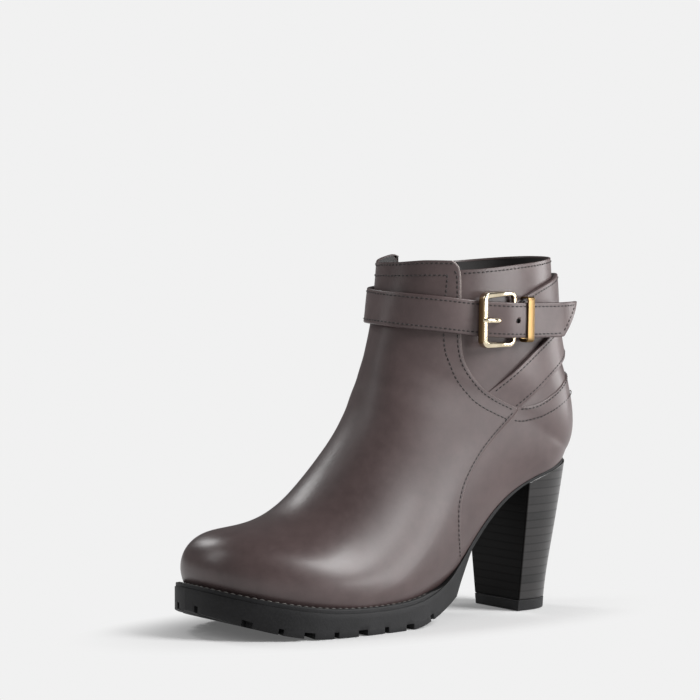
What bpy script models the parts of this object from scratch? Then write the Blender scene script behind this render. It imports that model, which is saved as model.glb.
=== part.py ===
"""Left heeled ankle boot: lug sole, stacked heel, hollow leather upper and a buckled ankle strap."""

import math

import bmesh
import bpy
import numpy as np
from mathutils import Matrix, Vector
from mathutils.bvhtree import BVHTree

MM = 0.001

# Sizes are in millimetres. Station s runs forward from the back of the counter,
# w runs to the outer side of the left foot and z runs up from the floor.
STATION_MID = 114.69
WIDTH_MID = -0.1
GAP = 0.3
MERGE = 1e-6
WALL = 2.0

THIN_SOLE = 3.2
SEAT_SOLE = 1.2
SEAT_FRONT = 46.0
LUG_DEPTH = 3.0
LUG_REACH = 13.0
WIDE_NOTCH = 5.5
NARROW_NOTCH = 2.6
TREAD_BACK = 124.0
TREAD_FRONT = 176.0
TOE_SPRING = 16.5
TOE_RUN = 60.0
ARCH_RISE = 0.0409
LUG_TALL = 20.0
PLATFORM_END = 80.0
PLATFORM_SLOPE = 2.0

WELT_THICK = 2.2
WELT_INNER = 3.7
WELT_SETBACK = 0.7
WELT_END = 101.0
INSOLE_THICK = 2.5
INSOLE_INSET = 2.9

HEEL_BREAST = 43.0
HEEL_BOTTOM_HALF = 18.0
HEEL_TOP_HALF = 27.2
HEEL_SQUARENESS = 2.5
TOP_PIECE_THICK = 5.5

ANKLE_STATION = 64.0
ARC_PER_DEGREE = 0.68
STRAP_WIDTH = 17.0
STRAP_THICK = 2.2
TAIL_SLANT = 9.0
SEWN_SLANT = 9.0

BUCKLE_LENGTH = 23.0
BUCKLE_HEIGHT = 28.0
BUCKLE_BAR = 2.6
BUCKLE_DEPTH = 2.8
BUCKLE_CORNER = 4.0
BUCKLE_MIDDLE = 151.3
FRONT_BAR_ANGLE = 66.0
BACK_BAR_ANGLE = 95.0
FRONT_BAR_LIFT = 5.2
BACK_BAR_LIFT = 2.1
PRONG_RADIUS = 1.1
KEEPER_ANGLE = 106.5
KEEPER_MIDDLE = 151.0
KEEPER_LIFT = 5.3
KEEPER_ACROSS = 4.6
KEEPER_HEIGHT = 23.0
KEEPER_WIDTH = 3.6
KEEPER_WALL = 0.9

# The seat is the top of the sole, on which the upper and the insole lie.
# Columns: station, height.
SEAT = (
    (240.0, 28.6), (228.0, 23.6), (212.0, 18.9), (194.0, 15.0), (174.0, 12.1),
    (152.0, 11.0), (132.0, 11.4), (116.0, 13.6), (104.0, 17.6), (95.0, 22.6),
    (86.0, 30.6), (77.0, 41.4), (64.0, 55.2), (52.0, 63.8), (40.0, 69.2),
    (26.0, 73.6), (12.0, 77.6), (0.0, 80.6),
)

# Edge where the upper turns in onto the sole, from the ball back to the heel.
# Columns: station, outer half width, inner half width.
FEATHER = (
    (150.0, 37.0, 36.4), (132.0, 35.2, 33.6), (116.0, 32.0, 29.6), (102.0, 29.2, 26.6),
    (90.0, 27.7, 25.4), (77.0, 27.0, 25.2), (63.0, 26.8, 25.6), (50.0, 26.8, 26.2),
    (38.0, 26.6, 26.4), (28.0, 25.4, 25.4), (19.0, 21.8, 21.8), (12.0, 15.6, 15.6),
    (8.0, 8.6, 8.6), (6.6, 0.0, 0.0),
)

# Seam up the back of the counter and shaft. Columns: station, height.
BACK_SEAM = (
    (6.6, 79.2), (3.6, 84.0), (1.9, 91.0), (1.9, 99.0), (3.3, 109.0), (6.4, 119.0),
    (10.0, 129.0), (12.8, 140.0), (14.6, 155.0), (15.7, 170.0), (16.8, 182.0),
)

# Line over the toe, the vamp, the instep and the shin. Columns: station, height, offset.
RIDGE = (
    (221.6, 21.8, -6.0), (224.2, 31.0, -6.2), (221.8, 41.2, -6.0), (213.8, 48.4, -5.2),
    (202.4, 51.4, -4.0), (190.2, 53.2, -2.8), (178.2, 57.0, -1.8), (162.4, 68.0, -0.8),
    (147.6, 84.0, 0.0), (135.4, 100.0, 0.0), (128.0, 116.0, 0.0), (122.6, 132.0, 0.0),
    (117.4, 150.0, 0.0), (113.6, 168.0, 0.0), (112.0, 179.6, 0.0),
)

# Sections of the upper, fanned from the toe round to the collar. Columns: foot of the section
# along the feather edge (0 to 1) and up the back seam (1 to 2), its head along the ridge (0 to 1),
# outer and inner half widths, where each is widest, squareness at the head and at the foot,
# angle at which the wall leaves the sole, share of the sole's sweep that it follows,
# and how far its sides sag.
SECTIONS = (
    (0.000, 0.000, 37.6, 37.8, 0.14, 0.30, 2.30, 2.0, 35.0, 1.00, 0.0),
    (0.014, 0.042, 40.0, 40.2, 0.15, 0.30, 2.30, 2.0, 35.0, 0.92, 0.0),
    (0.034, 0.090, 41.6, 41.6, 0.17, 0.30, 2.28, 2.0, 35.0, 0.80, 0.0),
    (0.063, 0.142, 42.5, 42.2, 0.20, 0.30, 2.25, 2.0, 35.0, 0.64, 0.0),
    (0.110, 0.216, 42.8, 42.2, 0.24, 0.30, 2.20, 2.0, 35.0, 0.45, 0.0),
    (0.170, 0.315, 42.4, 41.2, 0.28, 0.31, 2.15, 2.0, 35.0, 0.26, 0.0),
    (0.250, 0.428, 40.6, 38.6, 0.32, 0.33, 2.10, 2.0, 34.0, 0.12, 0.0),
    (0.355, 0.543, 37.6, 35.4, 0.35, 0.35, 2.10, 2.0, 32.0, 0.04, 0.0),
    (0.485, 0.641, 34.9, 33.0, 0.38, 0.38, 2.10, 2.0, 30.0, 0.00, 0.0),
    (0.640, 0.704, 33.4, 32.0, 0.40, 0.40, 2.10, 2.0, 27.0, 0.00, 0.0),
    (0.790, 0.752, 32.8, 31.8, 0.42, 0.42, 2.10, 2.30, 18.7, 0.00, 0.0),
    (0.940, 0.786, 32.6, 31.9, 0.44, 0.44, 2.12, 2.21, 6.5, 0.00, 0.0),
    (1.000, 0.812, 32.6, 32.0, 0.45, 0.45, 2.14, 2.67, 0.0, 0.00, 0.0),
    (1.140, 0.842, 32.7, 32.2, 0.46, 0.46, 2.16, 2.515, 0.0, 0.00, 0.0),
    (1.290, 0.872, 32.9, 32.5, 0.46, 0.46, 2.18, 2.45, 0.0, 0.00, 0.0),
    (1.450, 0.901, 33.1, 32.9, 0.47, 0.47, 2.20, 2.4, 0.0, 0.00, 0.3),
    (1.640, 0.935, 33.5, 33.3, 0.48, 0.48, 2.20, 2.4, 0.0, 0.00, 0.8),
    (1.840, 0.971, 33.8, 33.7, 0.48, 0.48, 2.20, 2.3, 0.0, 0.00, 1.4),
    (2.000, 1.000, 34.0, 34.0, 0.48, 0.48, 2.20, 2.3, 0.0, 0.00, 2.0),
)
LAST_SECTION = len(SECTIONS) - 1
WAIST_SECTION = 7
HEEL_SECTION = 12
TURN_CELLS = 32

# How far the sole stands out from the feather edge. Columns: station, distance.
LEDGE = (
    (240.0, 6.0), (118.0, 6.0), (106.0, 5.2), (96.0, 3.6), (88.0, 1.6), (80.0, 0.6), (0.0, 0.6),
)

# Back line of the heel. Columns: height, station.
HEEL_BACK = ((0.0, 17.8), (8.0, 17.6), (25.0, 15.6), (47.5, 11.6), (77.0, 6.8))

# Notches between the lugs along each edge. Columns: station, notch width.
NOTCHES = (
    (227.0, NARROW_NOTCH), (214.0, WIDE_NOTCH), (200.0, NARROW_NOTCH), (186.0, WIDE_NOTCH),
    (171.5, NARROW_NOTCH), (157.0, WIDE_NOTCH), (142.0, NARROW_NOTCH), (127.0, WIDE_NOTCH),
    (110.0, NARROW_NOTCH),
)
MID_SLOTS = (206.0, 193.0, 179.0, 164.5, 149.5, 134.5, 118.5)
MID_SLOT_HALF = 15.0

# Strap routes round the ankle, turning from the front by the outer side to the back.
# Columns: angle, height of the middle, lift off the upper.
LONG_STRAP = (
    (88.0, 109.0, 0.5), (110.0, 117.5, 0.5), (139.0, 131.4, 0.5), (159.0, 138.6, 0.5),
    (180.0, 143.4, 0.5), (200.0, 148.0, 0.5), (220.0, 153.0, 0.5), (242.0, 157.8, 0.5),
    (270.0, 160.2, 0.8), (315.0, 158.8, 1.8), (345.0, 157.4, 1.8), (360.0, 156.6, 1.8),
    (398.0, 154.2, 1.4), (421.0, 152.2, 0.7), (436.0, 151.4, 1.8), (452.0, 150.9, 4.1),
    (466.0, 150.6, 4.2), (476.0, 150.4, 4.7), (486.0, 150.2, 6.4), (498.0, 150.0, 10.4),
)
BUCKLE_STRAP = (
    (272.0, 109.0, 0.5), (257.0, 116.6, 0.5), (245.0, 124.6, 0.9), (231.0, 135.6, 3.1),
    (214.0, 148.8, 3.2), (198.0, 158.0, 3.2), (184.0, 162.6, 3.2), (172.0, 164.2, 3.0),
    (160.0, 164.0, 0.5), (145.0, 161.8, 0.5), (129.0, 158.2, 0.5), (115.0, 154.2, 0.5),
    (105.0, 151.8, 0.5),
)

# The prong's middle line, from the strap's hole to past the front bar. Columns as above.
PRONG = ((79.0, 151.0, 6.6), (72.0, 151.3, 8.0), (66.0, 151.5, 8.9), (62.5, 151.6, 8.6))


def spline(knots, values):
    """Natural cubic spline through a table, as a function of its knot value."""
    x = np.asarray(knots, float)
    y = np.asarray(values, float).reshape(len(x), -1)
    h = np.diff(x)
    last = len(x) - 1
    system = np.eye(len(x))
    right = np.zeros_like(y)
    for i in range(1, last):
        system[i, i - 1:i + 2] = h[i - 1], 2.0 * (h[i - 1] + h[i]), h[i]
        right[i] = 6.0 * ((y[i + 1] - y[i]) / h[i] - (y[i] - y[i - 1]) / h[i - 1])
    bend = np.linalg.solve(system, right)

    def at(t):
        t = np.asarray(t, float)
        i = np.clip(np.searchsorted(x, t, side="right") - 1, 0, last - 1)
        step = h[i][..., None]
        b = ((t - x[i]) / h[i])[..., None]
        a = 1.0 - b
        swing = ((a ** 3 - a) * bend[i] + (b ** 3 - b) * bend[i + 1]) * step ** 2 / 6.0
        return a * y[i] + b * y[i + 1] + swing

    return at


def path(rows):
    """Smooth curve through a table's rows, as a function of the share of its length."""
    points = np.asarray(rows, float)
    steps = np.linalg.norm(np.diff(points, axis=0), axis=1)
    knots = np.concatenate([[0.0], np.cumsum(steps)])
    return spline(knots / knots[-1], points)


SEAT_ROWS = np.asarray(SEAT[::-1])
SEAT_CURVE = spline(SEAT_ROWS[:, 0], SEAT_ROWS[:, 1])
SECTION_CURVE = spline(range(len(SECTIONS)), SECTIONS)
RIDGE_PATH = path(RIDGE)
BACK_PATH = path(BACK_SEAM)


def seat(s):
    """Height of the upper's and insole's underside over the sole at a station."""
    return SEAT_CURVE(s)[..., 0] + GAP


FEATHER_PATH = path([(s, outer, inner, float(seat(s))) for s, outer, inner in FEATHER])


def foot_of(base):
    """Foot of a section: along the feather edge up to 1, then up the back seam to 2."""
    low = FEATHER_PATH(np.clip(base, 0.0, 1.0))
    high = BACK_PATH(np.clip(base - 1.0, 0.0, 1.0))
    on_edge = base <= 1.0
    s = np.where(on_edge, low[..., 0], high[..., 0])
    z = np.where(on_edge, seat(low[..., 0]), high[..., 1])
    outer = np.where(on_edge, low[..., 1], 0.0)
    inner = np.where(on_edge, low[..., 2], 0.0)
    return s, z, outer, inner


def upper_face(row, turn):
    """Outer face of the upper at a section row and a turn: 0 foot on the outer side,
    1 its widest, 2 ridge, 3 widest on the inner side, 4 foot on the inner side."""
    columns = np.moveaxis(SECTION_CURVE(row), -1, 0)
    base, head, outer_half, inner_half, outer_wide, inner_wide = columns[:6]
    head_square, foot_square, leave, follow, sag = columns[6:]
    foot_s, foot_z, foot_outer, foot_inner = foot_of(base)
    head_s, head_z, head_w = np.moveaxis(RIDGE_PATH(np.clip(head, 0.0, 1.0)), -1, 0)
    is_outer = turn <= 2.0
    q = np.where(is_outer, turn, 4.0 - turn)
    side = np.where(is_outer, outer_half, -inner_half)
    foot_w = np.where(is_outer, foot_outer, -foot_inner)
    wide = np.where(is_outer, outer_wide, inner_wide)
    start = np.radians(np.clip(leave, 0.0, 89.0))
    low = start + (math.pi / 2.0 - start) * np.clip(q, 0.0, 1.0)
    high = math.pi / 2.0 * np.clip(q - 1.0, 0.0, 1.0)
    rise = np.abs(np.sin(low)) ** (2.0 / foot_square)
    rise_start = np.abs(np.sin(start)) ** (2.0 / foot_square)
    fall = np.abs(np.cos(low)) ** (2.0 / foot_square)
    fall_start = np.abs(np.cos(start)) ** (2.0 / foot_square)
    low_reach = wide * (1.0 - fall / fall_start)
    low_width = side - (side - foot_w) * (1.0 - rise) / (1.0 - rise_start)
    high_reach = wide + (1.0 - wide) * np.abs(np.sin(high)) ** (2.0 / head_square)
    high_width = head_w + (side - head_w) * np.abs(np.cos(high)) ** (2.0 / head_square)
    reach = np.where(q <= 1.0, low_reach, high_reach)
    width = np.where(q <= 1.0, low_width, high_width)
    s = foot_s + (head_s - foot_s) * reach
    z = foot_z + (head_z - foot_z) * reach - 4.0 * sag * reach * (1.0 - reach)
    ball_s, tip_s = FEATHER[0][0], RIDGE[0][0]
    share = np.clip((s - ball_s) / (tip_s - ball_s), 0.0, 1.0)
    chord = seat(ball_s) + (seat(tip_s) - seat(ball_s)) * share
    z = z + np.clip(follow, 0.0, 1.0) * np.where(s > ball_s, seat(np.minimum(s, tip_s)) - chord, 0.0)
    return s, width, z


def place(s, w, z):
    """Point in the model's frame, in metres, from a station, an offset and a height."""
    return Vector(((w - WIDTH_MID) * MM, (STATION_MID - s) * MM, z * MM))


def footprint(side, offset):
    """Plan edge of a layer under the upper on one side, from toe tip to heel, offset outward."""
    turn = np.linspace(2.0, 2.0 - 2.0 * side, 160)
    toe_s, toe_w, _ = upper_face(np.zeros_like(turn), turn)
    edge_s, _, outer, inner = foot_of(np.linspace(0.0, 1.0, 260)[1:])
    s = np.concatenate([toe_s, edge_s])
    w = np.concatenate([toe_w, outer if side > 0 else -inner])
    ds = np.gradient(s)
    dw = np.gradient(w)
    length = np.hypot(ds, dw)
    reach = offset(s) if callable(offset) else offset
    edge = np.column_stack([s + side * dw / length * reach, w - side * ds / length * reach])
    edge[-1, 1] = 0.0
    return edge


def ledge(s):
    """How far the sole stands out from the feather edge at a station."""
    rows = np.asarray(LEDGE[::-1])
    return np.interp(s, rows[:, 0], rows[:, 1])


def tread(s):
    """Height of the sole's underside: flat under the ball, sprung at the toe, thin behind."""
    share = np.clip((s - SEAT_FRONT) / (PLATFORM_END - SEAT_FRONT), 0.0, 1.0)
    thick = SEAT_SOLE + (THIN_SOLE - SEAT_SOLE) * share
    thin = SEAT_CURVE(np.minimum(s, PLATFORM_END))[..., 0] - thick
    slope = thin - PLATFORM_SLOPE * np.maximum(s - PLATFORM_END, 0.0)
    toe = TOE_SPRING * (np.maximum(s - TREAD_FRONT, 0.0) / TOE_RUN) ** 1.8
    arch = ARCH_RISE * np.maximum(TREAD_BACK - s, 0.0) ** 1.64
    return np.where(s < PLATFORM_END, thin, np.maximum(np.maximum(toe, arch), slope))


def make_material(name, colour, roughness, metallic):
    """Principled material with a plain colour."""
    material = bpy.data.materials.new(name)
    material.use_nodes = True
    shader = material.node_tree.nodes["Principled BSDF"]
    shader.inputs["Base Color"].default_value = (*colour, 1.0)
    shader.inputs["Roughness"].default_value = roughness
    shader.inputs["Metallic"].default_value = metallic
    return material


def add_object(name, data, material, collection, parent):
    """Object with its material, in a collection and under a parent."""
    thing = bpy.data.objects.new(name, data)
    collection.objects.link(thing)
    if material is not None:
        data.materials.append(material)
    thing.parent = parent
    return thing


def make_mesh(name, bm):
    """Smooth mesh from a finished edit mesh."""
    mesh = bpy.data.meshes.new(name)
    bm.to_mesh(mesh)
    bm.free()
    mesh.shade_smooth()
    mesh.set_sharp_from_angle(angle=math.radians(40.0))
    return mesh


def block(name, cells, shape):
    """Solid from a cube cut into cells along its axes, each corner put where shape(u, v, k) says."""
    bm = bmesh.new()
    bmesh.ops.create_cube(bm, size=1.0, matrix=Matrix.Translation((0.5, 0.5, 0.5)))
    for axis in range(3):
        normal = Vector([float(i == axis) for i in range(3)])
        for cut in range(1, cells[axis]):
            everything = bm.verts[:] + bm.edges[:] + bm.faces[:]
            middle = normal * (cut / cells[axis])
            bmesh.ops.bisect_plane(bm, geom=everything, plane_co=middle, plane_no=normal)
    for vert in bm.verts:
        vert.co = shape(*vert.co)
    bmesh.ops.remove_doubles(bm, verts=bm.verts[:], dist=MERGE)
    bmesh.ops.dissolve_degenerate(bm, edges=bm.edges[:], dist=MERGE)
    bmesh.ops.recalc_face_normals(bm, faces=bm.faces[:])
    return make_mesh(name, bm)


def upper_grid(stops, turns):
    """Outer face of the upper as a grid bent round the foot and closed up the back seam."""
    bm = bmesh.new()
    bmesh.ops.create_grid(bm, x_segments=len(stops) - 1, y_segments=turns, size=1.0)
    grid = np.asarray([vert.co for vert in bm.verts], float)
    row = np.interp((grid[:, 0] + 1.0) / 2.0, np.linspace(0.0, 1.0, len(stops)), stops)
    turn = np.clip((grid[:, 1] + 1.0) / 2.0, 0.0, 1.0) * 4.0
    for vert, spot in zip(bm.verts, np.column_stack(upper_face(row, turn))):
        vert.co = place(*spot)
    bmesh.ops.remove_doubles(bm, verts=bm.verts[:], dist=MERGE)
    bmesh.ops.dissolve_degenerate(bm, edges=bm.edges[:], dist=MERGE)
    return bm


def layer(name, stations, offset, low, high):
    """Layer under the foot between two heights, with its edge offset from the feather edge."""
    outer = footprint(1.0, offset)[::-1]
    inner = footprint(-1.0, offset)[::-1]
    front = outer[-1, 0]
    back = outer[0, 0]
    spots = back + (front - back) * np.asarray(stations)
    shares = np.linspace(0.0, 1.0, len(spots))

    def shape(u, v, k):
        s = np.interp(u, shares, spots)
        left = np.interp(s, outer[:, 0], outer[:, 1])
        right = np.interp(s, inner[:, 0], inner[:, 1])
        z = low(s) + (high(s) - low(s)) * k
        return place(float(s), float(right + (left - right) * v), float(z))

    return block(name, (len(spots) - 1, 2, 1), shape)


def station_shares():
    """Stations of a layer as shares of its length, close together where its edge turns."""
    heel = 0.10 * (1.0 - np.cos(np.linspace(0.0, math.pi / 2.0, 8)))
    waist = np.linspace(0.10, 0.31, 11)[1:]
    arch = np.linspace(0.31, 0.41, 10)[1:]
    ball = np.linspace(0.41, 0.86, 25)[1:]
    toe = 0.86 + 0.14 * np.sin(np.linspace(0.0, math.pi / 2.0, 11))[1:]
    return np.concatenate([heel, waist, arch, ball, toe])


def welt_mesh(name):
    """Strip on the sole round the forefoot, from the outer waist round the toe to the inner waist."""
    outer = footprint(1.0, 0.0)
    inner = footprint(-1.0, 0.0)
    edge = np.concatenate([outer[outer[:, 0] > WELT_END][::-1], inner[inner[:, 0] > WELT_END][1:]])
    run = np.concatenate([[0.0], np.cumsum(np.linalg.norm(np.diff(edge, axis=0), axis=1))])
    run = run / run[-1]
    slope = np.gradient(edge, axis=0)
    out = np.column_stack([-slope[:, 1], slope[:, 0]]) / np.linalg.norm(slope, axis=1)[:, None]

    def shape(u, v, k):
        spot = np.array([np.interp(u, run, edge[:, i]) for i in range(2)])
        away = np.array([np.interp(u, run, out[:, i]) for i in range(2)])
        away = away / np.linalg.norm(away)
        reach = WELT_INNER + (ledge(spot[0]) - WELT_SETBACK - WELT_INNER) * v
        s, w = spot + away * reach
        return place(float(s), float(w), float(seat(s)) + WELT_THICK * k)

    return block(name, (64, 1, 1), shape)


def heel_mesh(name, low, high, levels):
    """Heel slice between two heights: flat breast, round back, narrowing to the floor."""
    heights = np.asarray([row[0] for row in HEEL_BACK])
    backs = np.asarray([row[1] for row in HEEL_BACK])
    top = heights[-1]

    def shape(u, v, k):
        nominal = low + (min(high, top) - low) * k
        depth = HEEL_BREAST - np.interp(nominal, heights, backs)
        half = HEEL_BOTTOM_HALF + (HEEL_TOP_HALF - HEEL_BOTTOM_HALF) * nominal / top
        share = math.sin(min(u, 1.0) * math.pi / 2.0)
        s = HEEL_BREAST - depth * share
        round_off = max(0.0, 1.0 - share ** HEEL_SQUARENESS) ** (1.0 / HEEL_SQUARENESS)
        w = (2.0 * v - 1.0) * half * round_off
        ceiling = min(high, float(tread(np.float64(s))) - GAP)
        return place(float(s), float(w), low + (ceiling - low) * k)

    return block(name, (12, 2, levels), shape)


def on_ankle(angle, height, lift):
    """Point lifted off the upper, and the way out there, at an angle round the ankle and a height."""
    turn = math.radians(angle)
    start = place(ANKLE_STATION, 0.0, height)
    ahead = place(ANKLE_STATION + math.cos(turn), math.sin(turn), height) - start
    spot, normal, _, _ = ANKLE_SURFACE.ray_cast(start, ahead.normalized())
    if normal.dot(ahead) < 0.0:
        normal = -normal
    return spot + normal * (lift * MM), normal


def strap_mesh(name, route, cells, slant):
    """Strap wrapped round the ankle along a route, with its sewn and far ends cut on a slant."""
    rows = np.asarray(route)
    steps = np.hypot(np.diff(rows[:, 0]) * ARC_PER_DEGREE, np.diff(rows[:, 1]))
    run = np.concatenate([[0.0], np.cumsum(steps)])
    length = run[-1]
    centre = spline(run / length, rows[:, :2])

    def middle(t):
        angle, height = centre(np.float64(t))
        return on_ankle(float(angle), float(height), 0.0)

    def shape(u, v, k):
        far = slant * max(0.0, u - 0.85) / 0.15
        near = SEWN_SLANT * max(0.0, 0.15 - u) / 0.15
        t = u + (v - 0.5) * (far - near) / length
        spot, normal = middle(t)
        ahead = middle(t + 0.004)[0] - middle(t - 0.004)[0]
        across = normal.cross(ahead).normalized()
        if across.z < 0.0:
            across.negate()
        edge = spot + across * ((v - 0.5) * STRAP_WIDTH * MM)
        forward = (STATION_MID - ANKLE_STATION) * MM - edge.y
        angle = math.degrees(math.atan2(edge.x + WIDTH_MID * MM, forward))
        lift = np.interp(t, run / length, rows[:, 2]) + STRAP_THICK * k
        return on_ankle(angle, edge.z / MM, float(lift))[0]

    return block(name, (cells, 3, 1), shape)


def rounded_loop(spots, width, height, corner):
    """Closed outline of a rectangle with round corners, added to a curve."""
    points = []
    for quarter in range(4):
        side_x = 1.0 if quarter in (0, 3) else -1.0
        side_y = 1.0 if quarter in (0, 1) else -1.0
        for step in range(6):
            angle = math.pi / 2.0 * (quarter + step / 5.0)
            x = side_x * (width / 2.0 - corner) + corner * math.cos(angle)
            y = side_y * (height / 2.0 - corner) + corner * math.sin(angle)
            points.append((x * MM, y * MM, 0.0))
    loop = spots.splines.new("POLY")
    loop.points.add(len(points) - 1)
    for point, spot in zip(loop.points, points):
        point.co = (*spot, 1.0)
    loop.use_cyclic_u = True


def ring_curve(name, width, height, corner, wall, depth):
    """Flat ring with round corners, as a filled 2D curve."""
    curve = bpy.data.curves.new(name, "CURVE")
    curve.dimensions = "2D"
    curve.fill_mode = "BOTH"
    curve.extrude = depth / 2.0 * MM
    rounded_loop(curve, width, height, corner)
    rounded_loop(curve, width - 2.0 * wall, height - 2.0 * wall, max(corner - wall, 0.4))
    return curve


def frame_at(x_axis, y_axis, spot):
    """Placement with the given first axis, the second turned square to it, at a spot."""
    x_axis = x_axis.normalized()
    z_axis = x_axis.cross(y_axis).normalized()
    y_axis = z_axis.cross(x_axis)
    matrix = Matrix((x_axis, y_axis, z_axis)).transposed().to_4x4()
    matrix.translation = spot
    return matrix


def prong_curve(name):
    """Prong from the strap's hole to over the buckle's front bar."""
    curve = bpy.data.curves.new(name, "CURVE")
    curve.dimensions = "3D"
    curve.bevel_depth = PRONG_RADIUS * MM
    curve.bevel_resolution = 2
    curve.use_fill_caps = True
    wire = curve.splines.new("POLY")
    spots = [on_ankle(angle, height, lift)[0] for angle, height, lift in PRONG]
    wire.points.add(len(spots) - 1)
    for point, spot in zip(wire.points, spots):
        point.co = (*spot, 1.0)
    return curve


def lug_cutters(collection):
    """Boxes that cut the notches along the sole's edges and the slots across its middle."""
    cuts = []
    for side in (1.0, -1.0):
        edge = footprint(side, ledge)
        slope = np.gradient(edge, axis=0)
        for station, width in NOTCHES:
            spot = int(np.argmin(np.abs(edge[:, 0] - station)))
            away = math.atan2(side * slope[spot, 1], -side * slope[spot, 0])
            cuts.append((edge[spot, 0], edge[spot, 1], away, 2.0 * LUG_REACH, width))
    for station in MID_SLOTS:
        cuts.append((station, -2.0, 0.0, 2.0 * MID_SLOT_HALF, NARROW_NOTCH))
    for number, (s, w, away, length, width) in enumerate(cuts):
        bm = bmesh.new()
        bmesh.ops.create_cube(bm, size=1.0)
        bmesh.ops.scale(bm, vec=(length * MM, width * MM, LUG_TALL * MM), verts=bm.verts[:])
        mesh = bpy.data.meshes.new(f"notch_{number:02d}")
        bm.to_mesh(mesh)
        bm.free()
        cutter = add_object(mesh.name, mesh, None, collection, None)
        floor = float(tread(np.float64(s)))
        rise = float(tread(np.float64(s + 1.0)) - tread(np.float64(s - 1.0))) / 2.0
        pitch = Matrix.Rotation(-math.atan(rise), 4, "X")
        drop = Matrix.Translation((0.0, 0.0, (LUG_DEPTH - LUG_TALL / 2.0) * MM))
        yaw = Matrix.Rotation(-away, 4, "Z")
        cutter.matrix_world = Matrix.Translation(place(s, w, floor)) @ pitch @ drop @ yaw
        cutter.hide_render = True
        cutter.display_type = "WIRE"


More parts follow.
